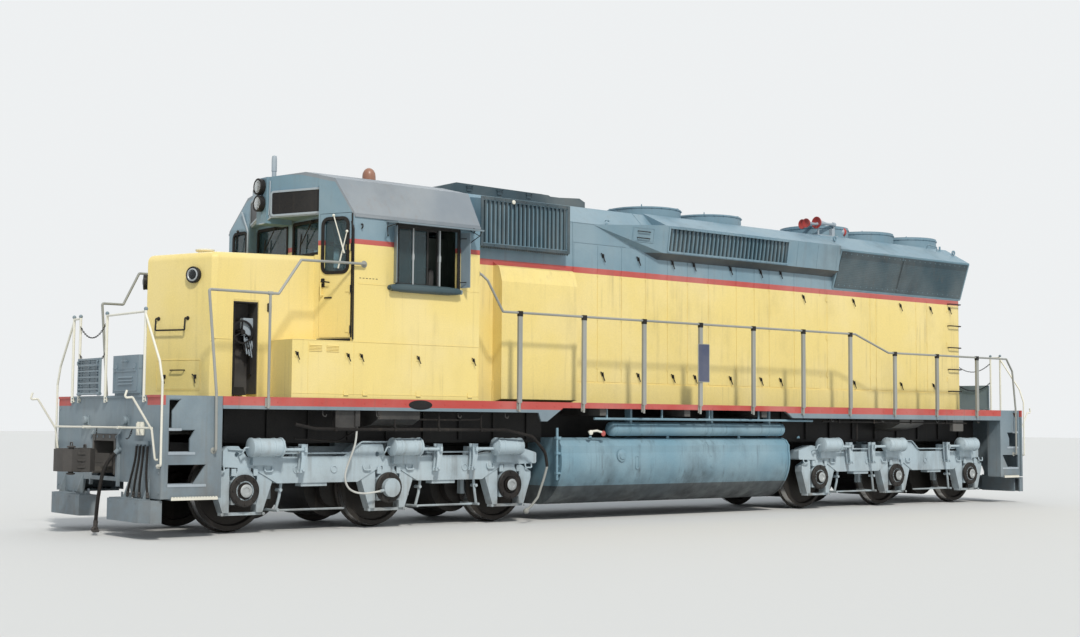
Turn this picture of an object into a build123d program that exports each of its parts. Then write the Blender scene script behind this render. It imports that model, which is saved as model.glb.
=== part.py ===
"""Six-axle diesel locomotive with a cab at one end and a full-length hood behind it.

Millimetres. X runs from the front (minus) to the rear, Y from the left side (minus) to the right,
and Z is the height above the rail top. The wheel flanges reach FLANGE below the rail top, so
export() lifts every piece by FLANGE and the part stands on Z = 0.
"""
from build123d import *
from math import cos, hypot, pi, radians, sin, tan
import os

os.makedirs("parts", exist_ok=True)

UPRIGHT = (Align.CENTER, Align.CENTER, Align.MIN)

# Running gear
FLANGE = 28
WHEEL_R = 508
AXLE_R = 95
AXLE_Z = WHEEL_R
TRUCK_CENTRES = (-5244, 5424)
AXLES_OUT = (2070, -51, -2070)
SIDEFRAME = (960, 1150)
FRAME_TOP = 920
FRAME_LOW = 590
HUMP_LOW = 790
CENTRE_PLATE_TOP = 1170

# Underframe and deck
END_X = 8600
COUPLER_Z = 876
DECK_TOP = 1660
DECK_HALF = 1524
DECK_THICK = 50
SILL_HALF = 400
SILL_LOW = 1190
WELL_INNER = {-1: 7810, 1: 7960}

# Hoods and cab
HOOD_HALF = 950
HOOD_REAR = 7560
HOOD_EAVES = 4340
HOOD_WALL = 60
CAB_REAR = -3980
CAB_CORNER = -5990
CAB_CREASE = -6690
CAB_HALF = 1500
CAB_FLOOR = 2385
CAB_EAVES = 4040
CAB_WALL = 60
ROOF_THICK = 50
NOSE_CREASE = -8110
NOSE_CORNER = -7690
RAIL_Y = 1548
TUBE_R = 17
GRAB_R = 14


def block(x, y, z):
    """A box between a low and a high place on each axis."""
    ends = (x, y, z)
    middle = [(low + high) / 2 for low, high in ends]
    return Pos(*middle) * Box(*[high - low for low, high in ends])


def slab(outline, axis, low, high):
    """An outline in the two other axes, taken in X, Y, Z order, drawn out along one axis."""
    corners = {
        "X": [(low, a, b) for a, b in outline],
        "Y": [(a, low, b) for a, b in outline],
        "Z": [(a, b, low) for a, b in outline],
    }[axis]
    reach = Vector(*[(high - low) * (axis == name) for name in "XYZ"])
    return Solid.extrude(Face(Wire.make_polygon(corners, close=True)), reach)


def disc(centre, axis, radius, length, hole=0):
    """A cylinder from a centre along one axis, with a hole if it is a ring."""
    direction = {"X": (1, 0, 0), "Y": (0, 1, 0), "Z": (0, 0, 1)}[axis]
    plane = Plane(origin=centre, z_dir=direction)
    shape = plane * Cylinder(radius, length, align=UPRIGHT)
    if hole:
        shape -= plane * Cylinder(hole, length, align=UPRIGHT)
    return shape


def rod(start, end, radius):
    line = Vector(*end) - Vector(*start)
    return Plane(origin=start, z_dir=line) * Cylinder(radius, line.length, align=UPRIGHT)


def bent_rod(points, radius, bend):
    """A round bar through points, each corner turned on the same bend radius."""
    path = FilletPolyline(*points, radius=bend)
    section = Plane(origin=path @ 0, z_dir=path % 0) * Circle(radius)
    return sweep(section, path=path)


def both_sides(shape):
    return shape + mirror(shape, about=Plane.XZ)


def mirrored(half_outline):
    """A closed outline across Y from its right half, listed from the outside to the middle."""
    left = [(-a, b) for a, b in half_outline]
    return list(half_outline) + left[::-1]


def at_end(end, shape):
    """A piece drawn at the rear end, outwards along X, set at the front (-1) or rear (1)."""
    return shape if end == 1 else Rot(0, 0, 180) * shape


def at_truck(end, shape):
    """A piece drawn about the truck pivot, outwards along X, set under the front or the rear."""
    pivot = TRUCK_CENTRES[0] if end == -1 else TRUCK_CENTRES[1]
    return Pos(pivot, 0, 0) * (shape if end == 1 else Rot(0, 0, 180) * shape)


def export(name, *pieces):
    shape = Part() + list(pieces) if len(pieces) > 1 else pieces[0]
    export_step(Pos(0, 0, FLANGE) * shape, f"parts/{name}.step")


# Hoses and the axle cable: diameter, then the points of the route, in the front end's own places
BRAKE_HOSE = (46, (
    (-8660, -400, 965), (-8720, -353, 890), (-8770, -305, 745), (-8800, -287, 545), (-8820, -270, 330),
    (-8830, -266, 130),
))
JUMPER_TOPS = (-920, -1015, -1115, -1225)
JUMPER_LEANS = (200, 130, 75, -35)
JUMPER_TOP_Z = 1060
AXLE_CABLE = (26, (
    (-5880, -1450, 1255), (-5872, -1432, 1110), (-5915, -1385, 930), (-5955, -1345, 780), (-5965, -1315, 650),
    (-5915, -1300, 530), (-5810, -1290, 465), (-5665, -1280, 440), (-5520, -1270, 448), (-5380, -1256, 466),
))


def jumper_route(number):
    """A jumper hose that hangs from its fitting, its lower part leaning towards the coupler."""
    y, lean = JUMPER_TOPS[number], JUMPER_LEANS[number]
    return (28, (
        (-8625, y, JUMPER_TOP_Z), (-8630, y + 0.02 * lean, 930), (-8641, y + 0.25 * lean, 780),
        (-8643, y + 0.65 * lean, 630), (-8634, y + lean, 505),
    ))


def cord(diameter, points):
    """A round tube along straight runs, each corner turned on the largest arc that both runs allow."""
    places = [Vector(*point) for point in points]
    runs = [end - start for start, end in zip(places, places[1:])]
    radii = [
        0.45 * min(before.length, after.length) / tan(radians(before.get_angle(after) / 2))
        for before, after in zip(runs, runs[1:])
    ]
    path = FilletPolyline(*points, radius=radii)
    tube = sweep(Plane(origin=path @ 0, z_dir=path % 0) * Circle(diameter / 2), path=path)
    straight = pi * diameter ** 2 / 4 * path.length
    print("cord", diameter, "length", round(path.length), "volume share", round(tube.volume / straight, 3))
    print("arc radii in diameters", [round(radius / diameter, 1) for radius in radii])
    return tube


def beyond(points, reach):
    """The place a distance past the last point of a route, straight on."""
    before, last = Vector(*points[-2]), Vector(*points[-1])
    return tuple(last + (last - before).normalized() * reach)


def hose_fittings():
    """What hangs on the hoses' lower ends: the brake hose's hooked coupling, the jumpers' ends."""
    points = BRAKE_HOSE[1]
    neck = beyond(points, 70)
    pieces = [rod(points[-1], neck, 27)]
    x, y, z = neck
    pieces.append(block((x - 35, x + 30), (y - 28, y + 34), (12, z + 8)))
    pieces.append(disc((x - 20, y - 60, 42), "Y", 34, 60))
    for number in range(len(JUMPER_TOPS)):
        points = jumper_route(number)[1]
        pieces.append(rod(points[-1], beyond(points, 52), 19))
    return Part() + pieces


# Underframe

def side_sill():
    """The channel along the deck edge, thin above the tank, with a gusset at the tank's front."""
    deep, deeper, thin = 1510, 1475, 1580
    outline = [
        (-7810, DECK_TOP), (-7810, deep), (-2950, deep), (-2900, 1390), (-2790, 1390),
        (-2500, thin), (2150, thin), (2310, deeper), (7960, deeper), (7960, DECK_TOP),
    ]
    return slab(outline, "Y", DECK_HALF - 60, DECK_HALF)


def underframe():
    deck = block((-7810, 7960), (-DECK_HALF + 60, DECK_HALF - 60), (DECK_TOP - DECK_THICK, DECK_TOP))
    centre_sill = block((-8560, 8560), (-SILL_HALF, SILL_HALF), (SILL_LOW, DECK_TOP - DECK_THICK))
    pieces = [deck, centre_sill, both_sides(side_sill())]
    for pivot in TRUCK_CENTRES:
        pieces.append(slab(
            mirrored([(SILL_HALF, SILL_LOW), (1300, 1330), (1464, 1400), (1464, 1620)]),
            "X", pivot - 330, pivot + 330,
        ))
        pieces.append(disc((pivot, 0, CENTRE_PLATE_TOP + 6), "Z", 300, 40))
    for end in (-1, 1):
        pieces.append(at_end(end, draft_pocket()))
    for x in (-6205, 6600):
        pieces.append(both_sides(block((x, x + 300), (1395, 1464), (1275, DECK_TOP - DECK_THICK))))
    x, y, z = AXLE_CABLE[1][0]
    pieces.append(rod((x, y, z + 8), (x, y, z + 70), 21))
    pieces.append(block((x - 40, x + 30), (y - 30, y + 56), (z + 50, 1520)))
    for x in (-1700, 0, 1700):
        pieces.append(block((x - 60, x + 60), (-1464, 1464), (1480, 1620)))
    return Part() + pieces


def draft_pocket():
    """The pocket that holds the coupler's shank, open below and at its mouth."""
    cheeks = both_sides(block((7975, 8640), (300, 340), (700, SILL_LOW)))
    cover = block((7975, 8640), (-340, 340), (1110, SILL_LOW))
    back = block((7920, 7975), (-340, 340), (760, SILL_LOW))
    return cheeks + cover + back


# Ends

def step_well(inner):
    """One side's steps: a side plate with three toe openings, its treads and its two end walls."""
    outer_y = 1510
    face = slab([(inner, 450), (8560, 450), (8560, DECK_TOP), (inner, DECK_TOP)], "Y", 1485, outer_y)
    toe_openings = (
        [(8500, 1270), (8500, 1620), (8346, 1620), (8462, 1476), (8462, 1270)],
        [(8500, 990), (8500, 1257), (8165, 1257), (8230, 1148), (8230, 990)],
        [(8500, 613), (8500, 847), (8015, 847), (8183, 613)],
    )
    for outline in toe_openings:
        face -= slab(outline, "Y", 1400, 1600)
    treads = [block((inner + 20, 8560), (1230, 1485), (z - 20, z)) for z in (1270, 990, 613)]
    foot = block((inner + 60, 8470), (1230, 1545), (435, 460))
    wall = block((inner, inner + 20), (1230, 1485), (450, DECK_TOP))
    return Part() + [face, *treads, foot, wall]


def end_plate():
    outline = mirrored([
        (1540, DECK_TOP), (1540, 450), (750, 450), (680, 620), (345, 620), (345, SILL_LOW + 5),
    ])
    return slab(outline, "X", 8560, END_X)


def footboard():
    """A box step each side of the coupler, its corners cut back, open below."""
    low, high = 170, 430
    plan = [(END_X - 40, 340), (8760, 420), (8760, 1290), (8690, 1480), (END_X - 40, 1500)]
    inner = [(END_X - 41, 365), (8735, 435), (8735, 1275), (8672, 1455), (END_X - 41, 1475)]
    step = slab(plan, "Z", low, high) - slab(inner, "Z", low, high - 25)
    bracket = block((8530, 8560), (700, 1400), (low, 460))
    return step + bracket


def pilot(inner):
    platform = block((inner, END_X), (-1485, 1485), (DECK_TOP - DECK_THICK, DECK_TOP))
    platform -= block((inner + 20, 8500), (1230, 1490), (1600, DECK_TOP + 5))
    platform -= block((inner + 20, 8500), (-1490, -1230), (1600, DECK_TOP + 5))
    locker = block((8540, END_X + 30), (200, 930), (DECK_TOP + 30, 2150))
    foot = block((8540, END_X), (200, 930), (DECK_TOP, DECK_TOP + 30))
    sides = both_sides(step_well(inner) + footboard())
    return Part() + [platform, end_plate(), locker, foot, sides]


def coupler():
    """A knuckle coupler: shank, head with its guard arm, and the knuckle that closes on another."""
    shank = block((8080, 8800), (-75, 75), (COUPLER_Z - 80, COUPLER_Z + 80))
    head = [
        (8780, -75), (8850, -190), (8960, -215), (9150, -250), (9165, -205), (9060, -130),
        (9040, -20), (9060, 60), (9030, 75), (9010, 205), (8900, 215), (8820, 160), (8780, 75),
    ]
    knuckle = [
        (9040, 70), (9060, -15), (9110, -10), (9130, 50), (9190, 40), (9215, -60), (9250, -55),
        (9250, 60), (9215, 165), (9130, 215), (9010, 210),
    ]
    body = slab(head, "Z", COUPLER_Z - 140, COUPLER_Z + 140)
    jaw = slab(knuckle, "Z", COUPLER_Z - 135, COUPLER_Z + 135)
    pin = disc((9110, 140, COUPLER_Z - 165), "Z", 32, 330)
    eye = disc((8080, 0, COUPLER_Z - 110), "Z", 90, 220)
    return Part() + [shank, body, jaw, pin, eye]


def drop_step():
    """A tread plate that stands folded at the end of the platform, with its stiffening ribs."""
    plate = block((8640, 8652), (-790, -120), (DECK_TOP + 25, 2140))
    ribs = [block((8652, 8668), (-780, -130), (z, z + 22)) for z in range(1740, 2130, 75)]
    rims = [block((8640, 8672), (y, y + 12), (DECK_TOP + 25, 2140)) for y in (-790, -132)]
    hinge = rod((8656, -790, DECK_TOP + 30), (8656, -120, DECK_TOP + 30), 14)
    return Part() + [plate, *ribs, *rims, hinge]


def front_hose_fittings():
    """The angle cock of the brake hose and the manifold of the jumpers, on the front end plate."""
    route = BRAKE_HOSE[1]
    back = beyond(route[::-1], 62)
    x, y, z = back
    manifold_y = (min(JUMPER_TOPS) - 40, max(JUMPER_TOPS) + 40)
    pieces = [rod(back, route[0], 30), rod((-END_X, y, z), (x - 8, y, z), 27),
              block((-END_X - 45, -END_X), manifold_y, (JUMPER_TOP_Z + 18, JUMPER_TOP_Z + 62))]
    for number in range(len(JUMPER_TOPS)):
        route = jumper_route(number)[1]
        pieces.append(rod(beyond(route[::-1], 30), route[0], 18))
    return Part() + pieces


def cable_plug():
    """The drive over the middle journal's end, with the plug that the axle cable goes into."""
    axle = TRUCK_CENTRES[0] - AXLES_OUT[1]
    route = AXLE_CABLE[1]
    cover = disc((axle, -1266, AXLE_Z), "Y", 122, 76) - disc((axle, -1234, AXLE_Z), "Y", AXLE_R + 10, 60)
    return cover + rod(route[-1], beyond(route, 60), 20)


# Tank and reservoirs

def fuel_tank():
    """A tank with bulged sides, a flat bottom and end plates that stand a little proud."""
    half, top, low = 1350, 1160, 200
    side = ThreePointArc((880, low), (half - 40, 560), (half, 940))
    outline = Polyline((half, 940), (half, top - 120), (half - 60, top - 40), (half - 160, top), (0, top))
    bottom = Line((0, low), (880, low))
    right = make_face([side, outline, Line((0, top), (0, low)), bottom])
    section = right + mirror(right, about=Plane.YZ)
    body = Plane.YZ.offset(-2380) * extrude(section, 4760)
    straps = [
        block((x - 40, x + 40), (-SILL_HALF, SILL_HALF), (top - 5, SILL_LOW))
        for x in (-1800, -600, 600, 1800)
    ]
    filler = both_sides(disc((-1250, 1250, 900), "Y", 70, 115))
    flanges = [
        Plane.YZ.offset(x) * extrude(scale(section, (1.012, 1.0, 1)), 30) for x in (-2400, 2370)
    ]
    return Part() + [body, *straps, filler, *flanges]


def air_reservoirs():
    """Two long tubes above the tank with domed ends, their hangers and the pipe beside them."""
    y, z, radius = 1240, 1290, 105
    pieces = []
    tank = disc((-1350, y, z), "X", radius, 3650)
    for x in (-1350, 2300):
        tank += Pos(x, y, z) * scale(Sphere(radius), (0.6, 1, 1))
    pieces.append(tank)
    for x in (-1000, 700, 2000):
        pieces.append(block((x - 20, x + 20), (y - 60, y + 60), (z + 60, DECK_TOP - DECK_THICK)))
    pipe_y = 1430
    pieces.append(rod((-1840, pipe_y, 1435), (2880, pipe_y, 1435), 18))
    for x in (-1600, -500, 500, 1600):
        pieces.append(block((x - 10, x + 10), (pipe_y - 12, pipe_y + 12), (1440, 1582)))
    return both_sides(Part() + pieces)


# Cab

# The front is slanted on the door's side, flat on the other, and set back between them under a brow
WALL_BACK = -6060
CORNER_FRONT = -6190
RECESS = (1000, 940)
NOSE_BACK = 3520
BROW_TIP = -6520
BROW_END = -6120
BROW_LOW = 4060
LAMP_HALF = 130


def v_front(y, inset=0):
    """X of the slanted front wall at a place across it, a distance inside its outer face."""
    slope = (CAB_CORNER - CAB_CREASE) / CAB_HALF
    return CAB_CREASE + slope * abs(y) + inset * hypot(1, slope)


def brow_x(y):
    return BROW_TIP + (BROW_END - BROW_TIP) * abs(y) / 980


def cab_plan(recess, low, high, brow=False):
    """The cab between two heights; the recess reaches from the middle to a place on each side."""
    left, right = recess
    middle = [(WALL_BACK, -left), (WALL_BACK, right)]
    if brow:
        middle = [(brow_x(left), -left), (BROW_TIP, 0), (brow_x(right), right)]
    plan = [
        (CAB_REAR, -CAB_HALF), (CAB_CORNER, -CAB_HALF), (v_front(left), -left), *middle,
        (CORNER_FRONT, right), (CORNER_FRONT, CAB_HALF), (CAB_REAR, CAB_HALF),
    ]
    return slab(plan, "Z", low, high)


def cab_solid():
    """The cab filled in, its roof falling a little to the front and its right corner leaning back."""
    solid = cab_plan((HOOD_HALF, HOOD_HALF), CAB_FLOOR, NOSE_BACK)
    solid += cab_plan(RECESS, NOSE_BACK, BROW_LOW)
    solid += cab_plan(RECESS, BROW_LOW, 4800, brow=True)
    solid += block((BROW_TIP + 8, WALL_BACK - 60), (-LAMP_HALF, LAMP_HALF), (3990, 4800))
    solid -= slab([(-6700, 4590), (-6100, 4655), (-5700, 4701), (-5700, 4900), (-6700, 4900)], "Y", -1600, 1600)
    lean = [(CORNER_FRONT, BROW_LOW), (CORNER_FRONT + 190, 4718), (-6300, 4718), (-6300, BROW_LOW)]
    return solid - slab(lean, "Y", RECESS[1], 1600)


def cab_room(corner_front, low, high):
    """The room inside the walls between two heights."""
    half = CAB_HALF - CAB_WALL
    left = RECESS[0] + 20
    right = RECESS[1] + CAB_WALL
    plan = [
        (CAB_REAR - CAB_WALL, -half), (v_front(half, CAB_WALL), -half), (v_front(left, CAB_WALL), -left),
        (WALL_BACK + CAB_WALL, -left), (WALL_BACK + CAB_WALL, right), (corner_front, right),
        (corner_front, half), (CAB_REAR - CAB_WALL, half),
    ]
    return slab(plan, "Z", low, high)


def roof_section(drop):
    """The cab roof's outline, lowered by drop and closed at the floor."""
    half = [(CAB_HALF, CAB_EAVES), (1220, 4510), (600, 4660), (0, 4700)]
    line = [(y, z - drop) for y, z in half]
    return [(CAB_HALF, CAB_FLOOR)] + line + [(-y, z) for y, z in line[-2::-1]] + [(-CAB_HALF, CAB_FLOOR)]


def front_band(outer, inner, y, z):
    """A piece that follows the slanted wall between two depths inside its outer face."""
    places = ((outer, y[0]), (outer, y[1]), (inner, y[1]), (inner, y[0]))
    return slab([(v_front(place, depth), place) for depth, place in places], "Z", *z)


# Openings in the front: low and high Y, low and high Z
WINDSHIELDS = ((-890, -90, 3580, 4000), (90, 890, 3580, 4000))
CORNER_PANE = (1000, 1350, 3300, 3980)
FRONT_DOOR = (-1460, -1020, CAB_FLOOR + 50, 4050)
REAR_DOOR = (1020, 1460, CAB_FLOOR + 50, 4000)
REAR_PANE = (1080, 1400, 3300, 3900)
SIDE_PANE = (-5320, -4350, 3150, 3930)
DOOR_GAP = 6
# Hinge pins on the doors' axes, X and Y, just clear of the walls
FRONT_HINGE = (-6020.6, -1458.2)
REAR_HINGE = (-3970, 1454)
HINGE_HEIGHTS = (2540, 3060, 3600)
HINGE_R = 9.5


def cab_shell():
    walls = cab_solid() - cab_room(CORNER_FRONT + CAB_WALL, CAB_FLOOR, 4000)
    walls -= cab_room(WALL_BACK + CAB_WALL, 4000, 4800)
    walls = walls & slab(roof_section(ROOF_THICK), "X", -7000, -3000)
    for y0, y1, z0, z1 in WINDSHIELDS:
        walls -= block((WALL_BACK - 10, WALL_BACK + CAB_WALL + 10), (y0, y1), (z0, z1))
    y0, y1, z0, z1 = CORNER_PANE
    walls -= block((CORNER_FRONT - 10, CORNER_FRONT + CAB_WALL + 10), (y0, y1), (z0, z1))
    y0, y1, z0, z1 = FRONT_DOOR
    walls -= block((-7000, -5650), (y0, y1), (z0, z1))
    x0, x1, z0, z1 = SIDE_PANE
    walls -= block((x0, x1), (-1600, 1600), (z0, z1))
    y0, y1, z0, z1 = REAR_PANE
    walls -= block((-4100, -3900), (-y1, -y0), (z0, z1))
    y0, y1, z0, z1 = REAR_DOOR
    walls -= block((-4100, -3900), (y0, y1), (z0, z1))
    return walls


def cab_floor():
    return cab_room(CORNER_FRONT + CAB_WALL, CAB_FLOOR, CAB_FLOOR + 50)


def cab_roof():
    roof = slab(roof_section(0), "X", -7000, -3000) - slab(roof_section(ROOF_THICK), "X", -7001, -2999)
    gutters = [
        block((front, CAB_REAR), sorted((side * CAB_HALF, side * (CAB_HALF + 18))), (CAB_EAVES - 50, CAB_EAVES - 20))
        for side, front in ((-1, CAB_CORNER), (1, CORNER_FRONT))
    ]
    return Part() + [roof & cab_solid(), *gutters]


def cab_glass():
    panes = []
    for y0, y1, z0, z1 in WINDSHIELDS:
        panes.append(block((WALL_BACK + 20, WALL_BACK + 28), (y0, y1), (z0, z1)))
    y0, y1, z0, z1 = CORNER_PANE
    panes.append(block((CORNER_FRONT + 25, CORNER_FRONT + 33), (y0, y1), (z0, z1)))
    x0, x1, z0, z1 = SIDE_PANE
    middle = (x0 + x1) / 2
    for side in (-1, 1):
        panes.append(block((x0, middle + 20), sorted((side * 1456, side * 1464)), (z0, z1)))
    y0, y1, z0, z1 = REAR_PANE
    panes.append(block((-4014, -4006), (-y1, -y0), (z0, z1)))
    return Part() + panes


def cab_door_front():
    y0, y1, z0, z1 = FRONT_DOOR
    leaf = front_band(0, 45, (y0 + DOOR_GAP, y1 - DOOR_GAP), (z0 + DOOR_GAP, z1 - DOOR_GAP))
    window = front_band(-50, 80, (y0 + 55, y1 - 55), (3290, 3970))
    handle = rod((v_front(1080) - 40, -1080, 2980), (v_front(1080) - 40, -1080, 3160), 9)
    stubs = [rod((v_front(1080) - 40, -1080, z), (v_front(1080) + 10, -1080, z), 8) for z in (2990, 3150)]
    straps = [front_band(-8, 1, (-1452, -1395), (z - 35, z + 35)) for z in HINGE_HEIGHTS]
    pins = [disc((*FRONT_HINGE, z - 50), "Z", HINGE_R, 100) for z in HINGE_HEIGHTS]
    return Part() + [leaf - window, handle, *stubs, *straps, *pins]


def cab_door_rear():
    y0, y1, z0, z1 = REAR_DOOR
    leaf = block((CAB_REAR - 45, CAB_REAR), (y0 + DOOR_GAP, y1 - DOOR_GAP), (z0 + DOOR_GAP, z1 - DOOR_GAP))
    leaf -= block((CAB_REAR - 60, CAB_REAR + 10), (y0 + 60, y1 - 60), (3300, 3900))
    handle = rod((CAB_REAR + 35, 1070, 2980), (CAB_REAR + 35, 1070, 3160), 9)
    stubs = [rod((CAB_REAR - 10, 1070, z), (CAB_REAR + 35, 1070, z), 8) for z in (2990, 3150)]
    straps = [block((CAB_REAR - 1, CAB_REAR + 8), (1395, 1450), (z - 35, z + 35)) for z in HINGE_HEIGHTS]
    pins = [disc((*REAR_HINGE, z - 50), "Z", HINGE_R, 100) for z in HINGE_HEIGHTS]
    return Part() + [leaf, handle, *stubs, *straps, *pins]


def cab_fittings():
    """The control stand on the right, the shelf on the front wall, and the posts that carry the seats."""
    floor = CAB_FLOOR + 50
    stand = slab([(-5500, floor), (-5150, floor), (-5150, 3250), (-5300, 3420), (-5500, 3420)], "Y", 560, 900)
    shelf = block((WALL_BACK + CAB_WALL, -5770), (-900, 900), (3330, 3380))
    cabinet = block((-4400, -4045), (-850, 850), (floor, 3900))
    posts = [disc((x, y, floor), "Z", 45, 380) for x, y in SEATS]
    feet = [disc((x, y, floor), "Z", 170, 25) for x, y in SEATS]
    return Part() + [stand, shelf, cabinet, *posts, *feet]


SEATS = ((-4820, 1080), (-4820, -1080))


def cab_seats():
    """A cushion and a back rest for each seat, as plain closed solids."""
    floor = CAB_FLOOR + 50
    pieces = []
    for x, y in SEATS:
        pieces.append(block((x - 230, x + 220), (y - 230, y + 230), (floor + 380, floor + 490)))
        pieces.append(block((x + 150, x + 240), (y - 210, y + 210), (floor + 490, floor + 1000)))
    return Part() + pieces


def window_awnings():
    """Over each side window a sunshade, beside it two wind deflectors, under it an arm rest."""
    x0, x1, z0, z1 = SIDE_PANE
    shade = slab([(1500, 3985), (1500, 3960), (1780, 3925), (1784, 3945)], "X", x0 - 190, x1 + 230)
    deflectors = [
        slab([(x, 1500), (x + lean, 1640), (x + lean + 12, 1640), (x + 12, 1500)], "Z", z0 + 20, z1 - 20)
        for x, lean in ((x0 - 60, -50), (x1 + 48, 50))
    ]
    rest = block((x0 - 130, x1 + 20), (1500, 1590), (3075, 3135))
    rest = fillet(rest.edges().filter_by(Axis.X), 20)
    return both_sides(Part() + [shade, *deflectors, rest])


# Nose and the boxes under the cab

def short_hood():
    """The low nose: a ridge down its front, rounded top edges and the hand-brake alcove."""
    corner_y = 910
    plan = [
        (NOSE_CREASE, 0), (NOSE_CORNER, -corner_y), (NOSE_CORNER + 60, -HOOD_HALF), (WALL_BACK, -HOOD_HALF),
        (WALL_BACK, HOOD_HALF), (NOSE_CORNER + 60, HOOD_HALF), (NOSE_CORNER, corner_y),
    ]
    nose = slab(plan, "Z", DECK_TOP, 3530)
    slope = slab([(-8200, 3450), (-8200, 3700), (-6000, 3700), (-6000, NOSE_BACK)], "Y", -1000, 1000)
    nose -= slope
    top = [
        edge for edge in nose.edges()
        if edge.center().Z > 3440 and (edge.center().X < -7500 or abs(edge.center().Y) > 940)
    ]
    nose = fillet(top, 90)
    nose -= block((-7400, -7050), (-1000, -690), (DECK_TOP + 10, 2860))
    filler = disc((-7450, -250, 3440), "Z", 85, 95) + disc((-7450, -250, 3530), "Z", 120, 22)
    return nose + filler


def hand_brake():
    """Wheel, gear case and chain in the nose alcove."""
    case = block((-7290, -7160), (-760, -690), (2330, 2620))
    wheel = disc((-7225, -880, 2480), "Y", 150, 24, hole=128)
    hub = disc((-7225, -890, 2480), "Y", 32, 130)
    spokes = [
        rod((-7225, -868, 2480), (-7225 + 138 * cos(radians(a)), -868, 2480 + 138 * sin(radians(a))), 9)
        for a in (90, 210, 330)
    ]
    chain = rod((-7270, -740, 1760), (-7270, -740, 2340), 14)
    lever = slab([(-7330, 1690), (-7120, 1690), (-7150, 1790), (-7300, 1790)], "Y", -790, -690)
    return Part() + [case, wheel, hub, *spokes, chain, lever]


def walkway_boxes():
    """The raised boxes either side of the nose and under the cab, and the steps at the rear door."""
    front = -6870
    base = block((front, CAB_REAR), (-CAB_HALF, CAB_HALF), (DECK_TOP, CAB_FLOOR))
    base -= block((front - 10, WALL_BACK), (-HOOD_HALF, HOOD_HALF), (DECK_TOP - 5, CAB_FLOOR + 5))
    steps = [
        block((CAB_REAR, CAB_REAR + 640 - 220 * n), (1000, 1480), (DECK_TOP + 240 * n, DECK_TOP + 240 * n + 240))
        for n in range(2)
    ]
    return Part() + [base, *steps]


# Long hood

def hood_section(inset=0):
    half = HOOD_HALF - inset
    return mirrored([(half, DECK_TOP), (half, HOOD_EAVES - inset / 2), (650 - inset / 2, 4620 - inset), (0, 4660 - inset)])


RADIATOR = (3950, HOOD_REAR)
RADIATOR_LOW = 3685


def long_hood():
    hood = slab(hood_section(), "X", CAB_REAR, HOOD_REAR)
    corners = [
        edge for edge in hood.edges().filter_by(Axis.Z) if edge.center().X > HOOD_REAR - 5
    ]
    hood = fillet(corners, 70)
    hood -= slab(hood_section(HOOD_WALL), "X", CAB_REAR - 1, HOOD_REAR - HOOD_WALL)
    hood -= block((RADIATOR[0], HOOD_REAR + 5), (-1200, 1200), (RADIATOR_LOW, 4800))
    skirt = both_sides(block((CAB_REAR + 640, HOOD_REAR - 90), (HOOD_HALF, HOOD_HALF + 25), (DECK_TOP, 1960)))
    return hood + skirt


def radiator_section_full():
    return mirrored(radiator_section())


def radiator_section(inset=0):
    return [
        (HOOD_HALF - inset, RADIATOR_LOW), (1170 - inset, 4360 - inset / 3), (650 - inset / 2, 4650 - inset),
        (0, 4680 - inset),
    ]


# Recessed panels on the radiator housing: low and high X
RADIATOR_PANELS = ((4080, 5690), (5810, 7420))
PANEL_LOW, PANEL_HIGH = 3780, 4280
PANEL_DEPTH = 35


def sloped_panel(x, depth, foot, head, z):
    """A piece of a slanted wall, from its outer face inwards; foot and head are its (Y, Z) ends."""
    lean = (head[0] - foot[0]) / (head[1] - foot[1])
    low, high = z
    at = [foot[0] + lean * (level - foot[1]) for level in (low, high)]
    return slab([(at[0] + 1, low), (at[1] + 1, high), (at[1] - depth, high), (at[0] - depth, low)], "X", *x)


def radiator_housing():
    outer = slab(mirrored(radiator_section()), "X", *RADIATOR)
    inner = slab(mirrored(radiator_section(HOOD_WALL)), "X", RADIATOR[0] + 40, RADIATOR[1] - 40)
    housing = outer - inner
    foot, head = radiator_section()[:2]
    for x in RADIATOR_PANELS:
        housing -= both_sides(sloped_panel(x, PANEL_DEPTH, foot, head, (PANEL_LOW, PANEL_HIGH)))
    eyes = [disc((x, y - 10, 4570), "Y", 45, 20, hole=22) for x in (4100, 7450) for y in (-900, 900)]
    return Part() + [housing, *eyes]


BLISTER = (-160, 3950)
BLISTER_FOOT, BLISTER_HEAD = (1100, 3985), (1165, 4410)
BLISTER_GRILLE = (-60, 2640)


def brake_blister():
    """A box along the hood's shoulder that leans out, comes to a point in front and holds a grille."""
    section = [(HOOD_HALF, 3890), BLISTER_FOOT, BLISTER_HEAD, (650, 4640), (650, 4500), (HOOD_HALF, 4330)]
    body = slab(section, "X", *BLISTER)
    body -= slab(hood_section(), "X", BLISTER[0] - 5, BLISTER[1] + 5)
    body -= sloped_panel(BLISTER_GRILLE, PANEL_DEPTH, BLISTER_FOOT, BLISTER_HEAD, (4020, 4375))
    tip = (-1470, 950, 4330)
    face = [(BLISTER[0], y, z) for y, z in section[:4]]
    corners = [face[0], face[1], face[2], (BLISTER[0], HOOD_HALF, 4360)]
    wedge = Solid(Shell([
        Face(Wire.make_polygon([corners[a], corners[b], tip], close=True))
        for a, b in ((0, 1), (1, 2), (2, 3), (3, 0))
    ] + [Face(Wire.make_polygon(corners, close=True))]))
    return both_sides(body + wedge)


FILTER = (-3670, -2050)
FILTER_Z = (3830, 4530)
FILTER_Y = 1100


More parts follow.
